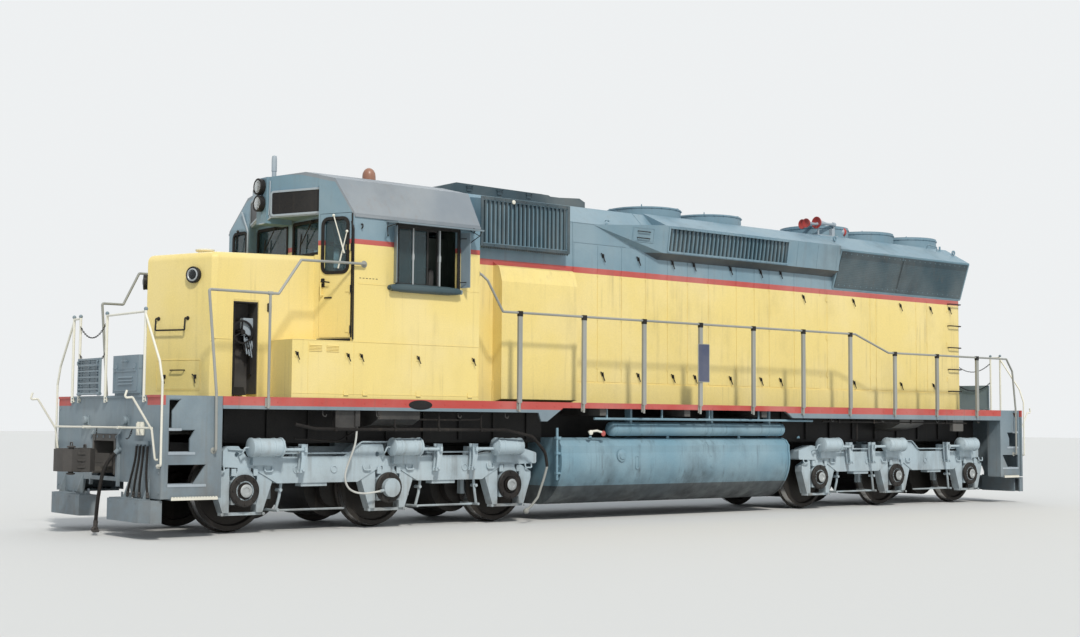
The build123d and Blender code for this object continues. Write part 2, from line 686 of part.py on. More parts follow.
def air_intakes():
    """A finned filter box on each shoulder behind the cab, and the blower duct under the left one."""
    outline = [(HOOD_HALF, FILTER_Z[0]), (FILTER_Y, FILTER_Z[0]), (FILTER_Y, 4500), (840, 4540), (840, 4400)]
    box = slab(outline, "X", *FILTER) - slab(hood_section(), "X", FILTER[0] - 5, FILTER[1] + 5)
    box -= block((FILTER[0] + 50, FILTER[1] - 50), (FILTER_Y - PANEL_DEPTH, FILTER_Y + 5), (3880, 4480))
    duct = [(HOOD_HALF + 25, 1660), (1160, 1700), (1160, 3350), (1090, 3560), (HOOD_HALF, 3640), (HOOD_HALF, 1960),
            (HOOD_HALF + 25, 1960)]
    duct = slab([(-y, z) for y, z in duct], "X", -3330, -1940)
    return both_sides(box) + duct


def fins(x, pitch, thick, make):
    """Upright fins at even places between two ends, each cut by make from its own strip."""
    count = int((x[1] - x[0]) / pitch)
    step = (x[1] - x[0]) / count
    return [make((x[0] + step * (n + 0.5) - thick / 2, x[0] + step * (n + 0.5) + thick / 2)) for n in range(count)]


def grille_fins():
    """The fins in all the recessed panels, standing clear of each other."""
    foot, head = radiator_section()[:2]
    pieces = []
    for x in RADIATOR_PANELS:
        pieces += fins(x, 100, 22, lambda strip: sloped_panel(
            strip, PANEL_DEPTH - 2, foot, head, (PANEL_LOW, PANEL_HIGH)))
    pieces += fins(BLISTER_GRILLE, 90, 26, lambda strip: sloped_panel(
        strip, PANEL_DEPTH - 2, BLISTER_FOOT, BLISTER_HEAD, (4020, 4375)))
    pieces += fins((FILTER[0] + 50, FILTER[1] - 50), 76, 26, lambda strip: block(
        strip, (FILTER_Y - PANEL_DEPTH, FILTER_Y), (3880, 4480)))
    right = Compound([piece if isinstance(piece, Solid) else piece.solids()[0] for piece in pieces])
    left = mirror(right, about=Plane.XZ)
    return Compound(right.solids() + left.solids())


def power_plant():
    """Engine and main generator, as plain blocks on the deck."""
    engine = slab(mirrored([(480, DECK_TOP), (480, 2500), (780, 3300), (600, 3500)]), "X", -900, 3700)
    generator = disc((-2350, 0, 2560), "X", 620, 1350) + block((-2250, -1150), (-450, 450), (DECK_TOP, 2400))
    return Part() + [engine, generator]


# Fan centres along the roof: X, foot of the housing, top of the housing
FANS = (
    (450, 4640, 4800), (1850, 4640, 4800),
    (4600, 4665, 4850), (5870, 4665, 4850), (7140, 4665, 4850),
)
FAN_R = 600
ROTOR_R = 545


def fan_housing(x, low, top):
    """A round casing on the roof with bars over it and a floor under the rotor."""
    ring = disc((x, 0, low - 60), "Z", FAN_R, top - low + 60, hole=FAN_R - 35)
    floor = disc((x, 0, low - 60), "Z", FAN_R - 30, 92)
    bars = [block((x + dx - 8, x + dx + 8), (-half, half), (top - 22, top)) for dx, half in (
        (d, (max(FAN_R - 20, 1) ** 2 - d ** 2) ** 0.5) for d in (-420, -280, -140, 0, 140, 280, 420))]
    spine = block((x - FAN_R + 20, x + FAN_R - 20), (-10, 10), (top - 34, top - 22))
    casing = Part() + [ring, floor, *bars, spine]
    roof = hood_section() if x < RADIATOR[0] else radiator_section_full()
    return casing - slab(roof, "X", x - 700, x + 700)


def fan_rotor(x, top):
    """Hub and eight twisted blades."""
    level = top - 78
    rotor = disc((x, 0, level - 25), "Z", 120, 50)
    blade = Pos((100 + ROTOR_R) / 2, 0, 0) * Rot(20, 0, 0) * Box(ROTOR_R - 100, 140, 10)
    for n in range(8):
        rotor += Pos(x, 0, level) * Rot(0, 0, 45 * n) * blade
    return rotor


def exhaust_hump():
    """The raised hatch behind the cab with two short stacks at its end."""
    side = [(-3640, 4600), (-3640, 4790), (-3230, 4890), (-1300, 4860), (-1010, 4800), (-1010, 4600)]
    hump = slab(side, "Y", -600, 600)
    hump = fillet(hump.edges().filter_by(Axis.X).sort_by(Axis.Z)[-2:], 60)
    stacks = [
        slab([(x - 150, -230), (x + 150, -230), (x + 150, 230), (x - 150, 230)], "Z", 4630, 4850)
        - slab([(x - 125, -205), (x + 125, -205), (x + 125, 205), (x - 125, 205)], "Z", 4700, 4860)
        for x in (-640,)
    ]
    return (Part() + [hump, *stacks]) - slab(hood_section(), "X", -3700, -300)


# Horn bells: offset along X, Y, height above the bracket, bell radius, length and the way it faces
HORNS = ((0, -170, 210, 90, 380, -1), (60, 0, 210, 105, 460, -1), (0, 170, 210, 90, 360, -1),
         (140, -90, 100, 85, 330, 1), (140, 90, 100, 85, 330, 1))


def horns_and_aerial():
    """The horn cluster on the roof, the flat beacon and the whip aerial on the cab."""
    base = (3330, -250, 4660)
    foot = block((base[0] - 20, base[0] + 160), (base[1] - 190, base[1] + 190), (base[2] - 60, base[2] + 60))
    pieces = [foot - slab(hood_section(), "X", base[0] - 100, base[0] + 300)]
    for dx, dy, dz, radius, length, way in HORNS:
        start = Vector(base[0] + dx, base[1] + dy, base[2] + dz)
        plane = Plane(origin=start, z_dir=(way, 0, 0))
        pieces.append(plane * Cylinder(28, length * 0.75, align=UPRIGHT))
        pieces.append(plane * Pos(0, 0, length * 0.7) * Cone(30, radius, length * 0.3, align=UPRIGHT))
        pieces.append(block((start.X - 25, start.X + 25), (start.Y - 14, start.Y + 14), (base[2] + 50, start.Z)))
    beacon = disc((-4820, 0, 4660), "Z", 95, 70) + disc((-4820, 0, 4730), "Z", 74, 90)
    beacon += Pos(-4820, 0, 4820) * Sphere(74)
    aerial = disc((-6330, 0, 4590), "Z", 30, 125) + disc((-6330, 0, 4712), "Z", 34, 228)
    roof = slab(roof_section(0), "X", -7000, -4000) & cab_solid()
    return Part() + pieces + [beacon - roof, aerial - roof]


def lamps():
    """Twin headlights on the tip of the brow, rear headlights, number boards and class lights."""
    lenses = [disc((BROW_TIP - 38, 0, z), "X", 108, 46) - cab_solid() for z in (4262, 4488)]
    boards = []
    for side in (-1, 1):
        places = ((-22, 195), (-22, 930), (0, 930), (0, 195))
        boards.append(slab([(brow_x(y) + out, side * y) for out, y in places], "Z", 4100, 4392))
    lights = []
    for side in (-1, 1):
        across = Vector(NOSE_CORNER - NOSE_CREASE, side * 910, 0)
        normal = across.cross(Vector(0, 0, -side)).normalized()
        centre = Vector(NOSE_CREASE, 0, 3175) + across * 0.745
        lights.append(Plane(origin=centre, z_dir=normal) * Cylinder(100, 35, align=UPRIGHT))
    rear = block((HOOD_REAR, HOOD_REAR + 60), (-160, 160), (4080, 4520))
    rear_lenses = [disc((HOOD_REAR + 60, 0, z), "X", 90, 40) for z in (4200, 4400)]
    rear_boards = [block((HOOD_REAR, HOOD_REAR + 28), sorted((side * 380, side * 880)), (4120, 4400)) for side in (-1, 1)]
    return Part() + [*lenses, *boards, *lights, rear, *rear_lenses, *rear_boards]


# Handrails

# Posts along the deck edge, at even places; the rail drops past the seventh
POST_FIRST, POST_PITCH, POST_COUNT, HIGH_POSTS = -3310, 1169, 10, 7
HIGH_RAIL, LOW_RAIL = 2885, 2603


def side_handrails():
    """The long rails beside the hood and the short ones beside the nose, on posts."""
    places = [(POST_FIRST + POST_PITCH * n, HIGH_RAIL if n < HIGH_POSTS else LOW_RAIL) for n in range(POST_COUNT)]
    places.append((-7215, 2930))
    pieces = [rod((x, RAIL_Y, 1520), (x, RAIL_Y, top), TUBE_R) for x, top in places]
    pieces += [block((x - 34, x + 34), (DECK_HALF, DECK_HALF + 12), (1535, 1645)) for x, _ in places]
    pieces.append(bent_rod([
        (CAB_REAR, CAB_HALF - 30, 3385), (CAB_REAR + 50, CAB_HALF - 30, 3385), (CAB_REAR + 100, RAIL_Y, 3300),
        (-3610, RAIL_Y, HIGH_RAIL), (3830, RAIL_Y, HIGH_RAIL), (4700, RAIL_Y, LOW_RAIL), (8120, RAIL_Y, LOW_RAIL),
        (8300, RAIL_Y, 2380), (8360, RAIL_Y + 20, 1700), (8360, RAIL_Y + 20, 860), (8360, 1510, 860),
    ], TUBE_R, 25))
    return both_sides(Part() + pieces) + nose_rail(-1, -7100, -6790) + nose_rail(1, -7740, -7520)


def nose_rail(side, level_end, rise_end):
    """The rail beside the nose on one side: up from the steps, level, then rising to the cab."""
    return bent_rod([(x, side * y, z) for x, y, z in (
        (-7920, 1510, 1010), (-7920, RAIL_Y + 25, 1010), (-7930, RAIL_Y + 25, 1700), (-8040, RAIL_Y, 2930),
        (level_end, RAIL_Y, 2930), (rise_end, RAIL_Y, 3370), (-5840, RAIL_Y, 3385), (-5840, CAB_HALF, 3385),
    )], TUBE_R, 22)


def end_handrails():
    """Rails across one end: posts beside the drop step, corner grabs and the uncoupling levers."""
    x = END_X + 20
    places = (-1070, -860, -40, 1070)
    pieces = [rod((x, y, 1580), (x, y, 2685), TUBE_R) for y in places]
    pieces += [block((END_X, x), (y - 30, y + 30), (1590, 1650)) for y in places]
    pieces += [rod((x, left, 2660), (x, right, 2660), GRAB_R) for left, right in ((-1070, -860), (-40, 1070))]
    corner = bent_rod([
        (x, 1074, 2625), (x, 1480, 2060), (x, 1565, 1820), (x, 1565, 840), (x, 1470, 830),
    ], GRAB_R, 22)
    pieces += [corner, mirror(corner, about=Plane.XZ)]
    pieces += [block((END_X, x), (y - 25, y + 25), (805, 855)) for y in (-1485, 1485)]
    bar_x = x + 60
    pieces.append(rod((bar_x, -1440, 1275), (bar_x, 1440, 1275), 13))
    lever = bent_rod([
        (9000, 1440, 1710), (9030, 1440, 1620), (8930, 1440, 1630), (bar_x, 1440, 1250), (8632, 1440, 905),
        (END_X, 1440, 905),
    ], 13, 24)
    pieces += [lever, mirror(lever, about=Plane.XZ)]
    pieces += [block((END_X, bar_x + 16), (y - 20, y + 20), (1258, 1292)) for y in (-520, 520)]
    return Part() + pieces


# Trucks

def sideframe():
    """The cast side of a truck: low between the axles, humped over them, a leg each side of a journal."""
    top = [
        (2360, 1000), (2300, 1055), (2150, 1055), (2030, FRAME_TOP), (640, FRAME_TOP), (390, 1080),
        (40, 1080), (0, FRAME_TOP), (-1480, FRAME_TOP), (-1790, 965), (-2250, 1030), (-2560, 950),
    ]
    low = [
        (-2560, HUMP_LOW + 10), (-2170, HUMP_LOW), (-1970, HUMP_LOW), (-1600, FRAME_LOW),
        (-521, FRAME_LOW), (-151, HUMP_LOW), (49, HUMP_LOW), (419, FRAME_LOW),
        (1600, FRAME_LOW), (1970, HUMP_LOW), (2170, HUMP_LOW), (2360, HUMP_LOW + 10),
    ]
    frame = slab(top + low, "Y", *SIDEFRAME)
    frame = fillet(frame.edges().filter_by(Axis.Y), 28)
    for u, z in ((1330, 760), (780, 760), (2170, 950), (120, 945), (-820, 760), (-1300, 760)):
        frame -= disc((u, SIDEFRAME[1] - 70, z), "Y", 32, 80)
    legs = []
    for axle in AXLES_OUT:
        for way in (-1, 1):
            outline = [(190, 800), (400, 690), (400, 600), (275, 240), (190, 240)]
            legs.append(slab([(axle + way * u, z) for u, z in outline], "Y", 990, 1135))
        legs.append(block((axle - 280, axle + 280), (1020, 1105), (205, 242)))
    lugs = [block((u - 190, u + 190), (990, 1130), (545, 620)) for u in (1060, -960)]
    return Part() + [frame, *legs, *lugs]


def truck_frame():
    sides = both_sides(sideframe())
    transoms = [block(u, (-SIDEFRAME[0], SIDEFRAME[0]), (650, 895)) for u in ((900, 1120), (-1120, -700))]
    beams = both_sides(block((-1100, 1120), (430, 590), (850, 1040)))
    saddle = block((-420, 420), (-590, 590), (1040, 1110))
    plate = disc((0, 0, 1110), "Z", 330, CENTRE_PLATE_TOP - 1110)
    return Part() + [sides, *transoms, beams, saddle, plate]


# Brake cylinders on a sideframe: end nearer the pivot, end further out, and which way the rod points
BRAKE_CYLINDERS = ((1640, 2045, -1), (-445, -35, -1), (-2140, -1740, 1))


def truck_gear():
    """Journal boxes with their bores, brake cylinders with their rods, and the brake shoes."""
    pieces = []
    for axle in AXLES_OUT:
        outline = [(-170, 340), (-170, 620), (-92, 750), (-92, HUMP_LOW)]
        outline = [(axle + u, z) for u, z in outline] + [(axle - u, z) for u, z in outline[::-1]]
        box = slab(outline, "Y", 985, 1160) + disc((axle, 1160, AXLE_Z), "Y", 168, 30)
        box -= disc((axle, 900, AXLE_Z), "Y", AXLE_R + 10, 400)
        pieces.append(box)
        side = 1 if axle == AXLES_OUT[2] else -1
        reach = sorted((axle + side * 470, axle + side * 575))
        shoe = block(reach, (716, 795), (380, 640)) - disc((axle, 690, AXLE_Z), "Y", WHEEL_R + 12, 130)
        hanger = axle + side * 560
        pieces += [shoe, block((hanger - 14, hanger + 14), (725, 770), (600, 860)),
                   rod((hanger, 745, 850), (hanger, SIDEFRAME[0], 850), 20)]
    for inner, outer, way in BRAKE_CYLINDERS:
        y, z, radius = SIDEFRAME[1] + 128, 1040, 112
        head, end = (inner - 14, outer) if way == 1 else (outer, inner)
        eye = end + way * 350
        pieces.append(disc((inner, y, z), "X", radius, outer - inner))
        pieces.append(disc((head, y, z), "X", radius + 10, 14))
        pieces.append(rod((end, y, z - 30), (eye, y, z - 30), 22))
        pieces.append(block((inner + 60, outer - 60), (SIDEFRAME[1], y - 60), (820, z)))
        pieces.append(block((eye - 18, eye + 18), (SIDEFRAME[0] + 60, y + 40), (z - 60, z)))
        pieces.append(block((eye - 30, eye + 30), (SIDEFRAME[0] + 60, SIDEFRAME[1] - 20), (FRAME_TOP, z - 60)))
    return both_sides(Part() + pieces)


# Motors: axle, and the way from the axle to the motor
MOTORS = ((AXLES_OUT[0], -1), (AXLES_OUT[1], 1), (AXLES_OUT[2], 1))
MOTOR_R = 365


def truck_motors():
    """A motor beside each axle with its gear case, held clear of the turning axle."""
    motor_z = 480
    gear_y = (525, 635)
    pieces = []
    for axle, way in MOTORS:
        centre = axle + way * 500
        motor = disc((centre, -480, motor_z), "Y", MOTOR_R, 960)
        hug = block(sorted((axle + way * 40, centre)), (-440, 440), (380, 640))
        hug -= disc((axle, -500, AXLE_Z), "Y", AXLE_R + 14, 1000)
        nose = block(sorted((centre + way * 300, centre + way * 450)), (-150, 150), (660, 760))
        case = disc((axle, gear_y[0], AXLE_Z), "Y", 335, gear_y[1] - gear_y[0])
        case += disc((centre, gear_y[0], motor_z), "Y", 230, gear_y[1] - gear_y[0])
        case += block(sorted((axle, centre)), gear_y, (motor_z - 225, motor_z + 225))
        case -= disc((axle, 500, AXLE_Z), "Y", AXLE_R + 14, 200)
        neck = disc((centre, 470, motor_z), "Y", 150, 70)
        pieces += [motor, hug, nose, case, neck]
    return Part() + pieces


def wheelset():
    """An axle and its two wheels, turned about Y: half section as (Y, radius)."""
    rim = [
        (675, 450), (675, 520), (682, WHEEL_R + FLANGE), (697, WHEEL_R + FLANGE), (709, 511),
        (815, 503), (815, 450), (772, 430), (764, 175), (822, 165), (822, AXLE_R - 5), (655, AXLE_R - 5),
        (655, 170), (735, 180), (728, 440),
    ]
    face = Face(Wire.make_polygon([(0, y, r) for y, r in rim], close=True))
    wheel = revolve(face, axis=Axis.Y)
    axle = disc((0, -1200, 0), "Y", AXLE_R, 2400)
    cap = disc((0, 1200, 0), "Y", 82, 22)
    return axle + both_sides(Part() + [wheel, cap])


def build():
    export("underframe", underframe())
    for end, place in ((-1, "front"), (1, "rear")):
        ends = at_end(end, pilot(WELL_INNER[end]))
        export(f"pilot_{place}", ends + front_hose_fittings() if end == -1 else ends)
        export(f"coupler_{place}", at_end(end, coupler()))
        export(f"drop_step_{place}", at_end(end, drop_step()))
        export(f"truck_frame_{place}", at_truck(end, truck_frame()))
        gear = at_truck(end, truck_gear())
        export(f"truck_gear_{place}", gear + cable_plug() if end == -1 else gear)
        export(f"truck_motors_{place}", at_truck(end, truck_motors()))
    export("end_handrails", at_end(-1, end_handrails()), at_end(1, end_handrails()))
    export("side_handrails", side_handrails())
    places = sorted(TRUCK_CENTRES[0] - out for out in AXLES_OUT)
    places += sorted(TRUCK_CENTRES[1] + out for out in AXLES_OUT)
    for number, x in enumerate(places, 1):
        export(f"wheelset_{number}", Pos(x, 0, AXLE_Z) * wheelset())
    for make in (
        fuel_tank, air_reservoirs, cab_shell, cab_floor, cab_roof, cab_glass, cab_door_front, cab_door_rear,
        cab_fittings, cab_seats, window_awnings, short_hood, hand_brake, walkway_boxes, long_hood,
        radiator_housing, brake_blister, air_intakes, grille_fins, power_plant, exhaust_hump,
        horns_and_aerial, lamps,
    ):
        export(make.__name__, make())
    export("brake_hose", cord(*BRAKE_HOSE))
    for number in range(len(JUMPER_TOPS)):
        export(f"jumper_hose_{number + 1}", cord(*jumper_route(number)))
    export("axle_cable", cord(*AXLE_CABLE))
    export("hose_fittings", hose_fittings())
    export("fan_housings", *[fan_housing(*fan) for fan in FANS])
    for number, (x, _, top) in enumerate(FANS, 1):
        export(f"fan_rotor_{number}", fan_rotor(x, top))


build()
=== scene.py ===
"""Looks of the six-axle diesel locomotive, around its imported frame.

Metres. X runs from the front (minus) to the rear, Y from the left side (minus) to the right. Shapes are
drawn in heights above the rail top, and piece() lifts each of them by RAIL to the frame's own floor.
"""

from math import ceil, cos, pi, radians, sin, tan

import bmesh
import bpy
from mathutils import Matrix, Vector
from mathutils.bvhtree import BVHTree


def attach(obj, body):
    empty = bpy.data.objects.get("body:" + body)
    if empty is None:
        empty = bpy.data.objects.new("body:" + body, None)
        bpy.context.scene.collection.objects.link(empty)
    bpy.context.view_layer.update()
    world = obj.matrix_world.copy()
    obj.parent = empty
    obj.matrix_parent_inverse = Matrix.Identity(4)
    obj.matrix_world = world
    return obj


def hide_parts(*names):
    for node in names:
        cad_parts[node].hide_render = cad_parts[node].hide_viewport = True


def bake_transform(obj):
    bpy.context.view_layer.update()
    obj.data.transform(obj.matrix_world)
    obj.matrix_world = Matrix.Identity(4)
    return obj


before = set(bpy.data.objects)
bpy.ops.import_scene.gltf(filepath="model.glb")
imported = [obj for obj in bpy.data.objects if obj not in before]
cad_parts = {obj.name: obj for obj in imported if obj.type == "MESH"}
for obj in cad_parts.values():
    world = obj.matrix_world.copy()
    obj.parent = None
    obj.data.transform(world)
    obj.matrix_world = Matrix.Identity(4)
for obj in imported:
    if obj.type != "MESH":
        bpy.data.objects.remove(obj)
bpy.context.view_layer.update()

RAIL = 0.028
AFT, FORE, LEFT, RIGHT, UP = (1, 0, 0), (-1, 0, 0), (0, -1, 0), (0, 1, 0), (0, 0, 1)
SIDES = ((-1, "left"), (1, "right"))


# Camera, from the photograph

PHOTO = (1080, 637)
FOCAL_PIXELS = 1553.22
OPTICAL_CENTRE = (533.16, 310.68)
EYE = (-16.612, -18.339, 1.369 + RAIL)
YAW, PITCH, ROLL = 38.8655, 4.1281, 0.4288


def place_camera():
    camera = bpy.data.objects.new("camera", bpy.data.cameras.new("camera"))
    bpy.context.scene.collection.objects.link(camera)
    camera.data.sensor_width = 36
    camera.data.lens = FOCAL_PIXELS * 36 / PHOTO[0]
    camera.data.shift_x = (PHOTO[0] / 2 - OPTICAL_CENTRE[0]) / PHOTO[0]
    camera.data.shift_y = (OPTICAL_CENTRE[1] - PHOTO[1] / 2) / PHOTO[0]
    camera.data.clip_end = 500
    yaw, pitch, roll = radians(YAW), radians(PITCH), radians(ROLL)
    ahead = Vector((sin(yaw) * cos(pitch), cos(yaw) * cos(pitch), sin(pitch)))
    level = Vector((cos(yaw), -sin(yaw), 0))
    upright = level.cross(ahead)
    right = level * cos(roll) + upright * sin(roll)
    up = upright * cos(roll) - level * sin(roll)
    camera.matrix_world = Matrix((
        (right.x, up.x, -ahead.x, EYE[0]),
        (right.y, up.y, -ahead.y, EYE[1]),
        (right.z, up.z, -ahead.z, EYE[2]),
        (0, 0, 0, 1),
    ))
    bpy.context.scene.camera = camera


place_camera()


# Node helpers

def add(tree, kind, inputs=None, **settings):
    """Adds a node with its settings; each named input is linked if it is a socket, and filled if not."""
    node = tree.nodes.new(kind)
    for key, value in settings.items():
        setattr(node, key, value)
    for key, value in (inputs or {}).items():
        if isinstance(value, bpy.types.NodeSocket):
            tree.links.new(value, node.inputs[key])
        else:
            node.inputs[key].default_value = value
    return node


def math(tree, operation, a, b=0.0, clamp=False):
    return add(tree, "ShaderNodeMath", {0: a, 1: b}, operation=operation, use_clamp=clamp).outputs[0]


def ramp(tree, value, low, high, low_to=0.0, high_to=1.0):
    """A value carried smoothly from one range to another."""
    return add(tree, "ShaderNodeMapRange", {
        "Value": value, "From Min": low, "From Max": high, "To Min": low_to, "To Max": high_to,
    }, interpolation_type="SMOOTHSTEP").outputs["Result"]


def mix(tree, share, a, b):
    node = add(tree, "ShaderNodeMix", {0: share}, data_type="RGBA")
    for socket, value in ((node.inputs[6], a), (node.inputs[7], b)):
        if isinstance(value, bpy.types.NodeSocket):
            tree.links.new(value, socket)
        else:
            socket.default_value = (*value, 1) if len(value) == 3 else value
    return node.outputs[2]


def noise(tree, where, scale, detail=4.0, rough=0.55):
    return add(tree, "ShaderNodeTexNoise", {
        "Vector": where, "Scale": scale, "Detail": detail, "Roughness": rough,
    }).outputs["Fac"]


def stretched(tree, where, scale, shift=(0.0, 0.0, 0.0)):
    return add(tree, "ShaderNodeMapping", {"Vector": where, "Scale": scale,
            "Location": shift}).outputs["Vector"]


def here(tree):
    """The place on the object, in its own space, which stays put when the object moves."""
    return add(tree, "ShaderNodeTexCoord").outputs["Object"]


def facing(tree):
    return add(tree, "ShaderNodeTexCoord").outputs["Normal"]


def axes(tree, vector):
    return add(tree, "ShaderNodeSeparateXYZ", {0: vector}).outputs


def group(name, inputs, outputs):
    """A new shader node group: its tree, its input sockets and its output node."""
    tree = bpy.data.node_groups.new(name, "ShaderNodeTree")
    kinds = {"value": "NodeSocketFloat", "colour": "NodeSocketColor", "vector": "NodeSocketVector"}
    for label, kind, default in inputs:
        socket = tree.interface.new_socket(name=label, in_out="INPUT", socket_type=kinds[kind])
        if default is not None:
            socket.default_value = (*default, 1) if kind == "colour" else default
    for label, kind in outputs:
        tree.interface.new_socket(name=label, in_out="OUTPUT", socket_type=kinds[kind])
    return tree, tree.nodes.new("NodeGroupInput").outputs, tree.nodes.new("NodeGroupOutput")


def place(tree, made, **values):
    """Places a node group in a material; underscores in the names of its inputs stand for spaces."""
    node = add(tree, "ShaderNodeGroup")
    node.node_tree = made
    for key, value in values.items():
        socket = node.inputs[key.replace("_", " ").capitalize()]
        if isinstance(value, bpy.types.NodeSocket):
            tree.links.new(value, socket)
        else:
            socket.default_value = (*value, 1) if hasattr(value, "__len__") else value
    return node.outputs


# Shared effects

def weather_group():
    """Sun-faded blotches, rain streaks, soot from above, and road dust that thins out with height."""
    tree, given, out = group("weather", [
        ("Paint", "colour", (0.5, 0.5, 0.5)), ("Dust", "colour", (0.2, 0.15, 0.1)),
        ("Soot", "colour", (0.03, 0.03, 0.03)), ("Fade", "value", 0.1), ("Streaks", "value", 0.2),
        ("Sooting", "value", 0.1), ("Dusting", "value", 0.3), ("Dust top", "value", 1.5),
        ("Gloss", "value", 0.4),
    ], [("Colour", "colour"), ("Roughness", "value")])
    spot = here(tree)
    blotch = ramp(tree, noise(tree, spot, 0.9, 5), 0.35, 0.7)
    lighter = mix(tree, math(tree, "MULTIPLY", blotch, given["Fade"]), given["Paint"], (0.95, 0.93, 0.85))
    fine = noise(tree, spot, 60, 2)
    lighter = mix(tree, ramp(tree, fine, 0.2, 0.8, 0.0, 0.1), lighter, given["Dust"])
    runs = noise(tree, stretched(tree, spot, (5.5, 5.5, 0.22)), 2.4, 4, 0.6)
    mottled = noise(tree, spot, 1.7, 3)
    streak = math(tree, "MULTIPLY", ramp(tree, runs, 0.5, 0.76), ramp(tree, mottled, 0.35, 0.65))
    streaked = mix(tree, math(tree, "MULTIPLY", streak, given["Streaks"]), lighter, given["Dust"])
    patch = ramp(tree, noise(tree, stretched(tree, spot, (1, 1, 0.55), (7.3, 1.1, 4.2)), 1.3, 6, 0.62), 0.48,
            0.78)
    sooty = mix(tree, math(tree, "MULTIPLY", patch, given["Sooting"]), streaked, given["Soot"])
    height = axes(tree, spot)[2]
    low = ramp(tree, math(tree, "DIVIDE", height, given["Dust top"]), 1.0, 0.0)
    uneven = ramp(tree, noise(tree, spot, 5, 5), 0.25, 0.75, 0.25, 1.0)
    dusty = math(tree, "MULTIPLY", math(tree, "MULTIPLY", low, uneven), given["Dusting"])
    tree.links.new(mix(tree, dusty, sooty, given["Dust"]), out.inputs["Colour"])
    rough = math(tree, "ADD", given["Gloss"], math(tree, "MULTIPLY", dusty, 0.35))
    rough = math(tree, "ADD", rough, ramp(tree, blotch, 0.0, 1.0, 0.0, 0.08))
    tree.links.new(math(tree, "ADD", rough, math(tree, "MULTIPLY", patch, 0.1), True),
            out.inputs["Roughness"])
    return tree


def chips_group():
    """Flaked spots and scrapes where the finish has come off, as a mask and a height."""
    tree, given, out = group("chips", [("Amount", "value", 0.3), ("Size", "value", 9.0)],
            [("Mask", "value"), ("Height", "value")])
    spot = here(tree)
    grain = noise(tree, spot, given["Size"], 9, 0.72)
    where = noise(tree, stretched(tree, spot, (1, 1, 2.2), (3.1, 0.4, 8.8)), 1.1, 2)
    edge = math(tree, "SUBTRACT", 0.78, math(tree, "MULTIPLY", given["Amount"], math(tree, "MULTIPLY", where,
            0.42)))
    mask = add(tree, "ShaderNodeMapRange", {
        "Value": grain, "From Min": edge, "From Max": math(tree, "ADD", edge, 0.02),
    }).outputs["Result"]
    tree.links.new(mask, out.inputs["Mask"])
    tree.links.new(math(tree, "MULTIPLY", mask, -1.0), out.inputs["Height"])
    return tree


def plating_group():
    """The slow waves of welded sheet and the fine grain of thick paint."""
    tree, given, out = group("plating", [("Waves", "value", 1.0)], [("Height", "value")])
    spot = here(tree)
    waves = math(tree, "MULTIPLY", noise(tree, spot, 1.6, 2), given["Waves"])
    grain = math(tree, "MULTIPLY", noise(tree, spot, 170, 3), 0.05)
    tree.links.new(math(tree, "ADD", waves, grain), out.inputs["Height"])
    return tree


def casting_group():
    """The lumpy skin of a sand casting."""
    tree, given, out = group("casting", [("Lumps", "value", 1.0)], [("Height", "value")])
    spot = here(tree)
    coarse = noise(tree, spot, 34, 4, 0.6)
    fine = math(tree, "MULTIPLY", noise(tree, spot, 240, 3, 0.6), 0.35)
    tree.links.new(math(tree, "MULTIPLY", math(tree, "ADD", coarse, fine), given["Lumps"]),
            out.inputs["Height"])
    return tree


def band_group():
    """Where a painted band lies between two heights, outside a half width, on faces up to a tilt."""
    tree, given, out = group("band", [("Low", "value", 0.0), ("High", "value", 1.0),
            ("Half width", "value", 0.0), ("Half length", "value", 0.0), ("Tilt", "value", 2.0)],
            [("Mask", "value")])
    x, y, z = axes(tree, here(tree))
    inside = math(tree, "MULTIPLY", math(tree, "GREATER_THAN", z, given["Low"]),
            math(tree, "LESS_THAN", z, given["High"]))
    outer = math(tree, "GREATER_THAN", math(tree, "ABSOLUTE", y), given["Half width"])
    beyond = math(tree, "GREATER_THAN", math(tree, "ABSOLUTE", x), given["Half length"])
    side = math(tree, "LESS_THAN", axes(tree, facing(tree))[2], given["Tilt"])
    outer = math(tree, "MULTIPLY", outer, beyond)
    tree.links.new(math(tree, "MULTIPLY", math(tree, "MULTIPLY", inside, outer), side), out.inputs["Mask"])
    return tree


WEATHER, CHIPS, PLATING = weather_group(), chips_group(), plating_group()
CASTING, BAND = casting_group(), band_group()

DULL = 0.15
RED = (0.47, 0.055, 0.045)
YELLOW = (0.83, 0.66, 0.235)
# The blue cast of this grey is painted sky reflection on grey paint.
GREY = (0.155, 0.265, 0.335)
FRAME_GREY = (0.17, 0.235, 0.28)
ROOF_GREY = (0.2, 0.235, 0.27)
SILVER = (0.4, 0.5, 0.56)
DUST = (0.15, 0.115, 0.085)
SOOT = (0.018, 0.018, 0.02)
BLACK = (0.012, 0.013, 0.015)


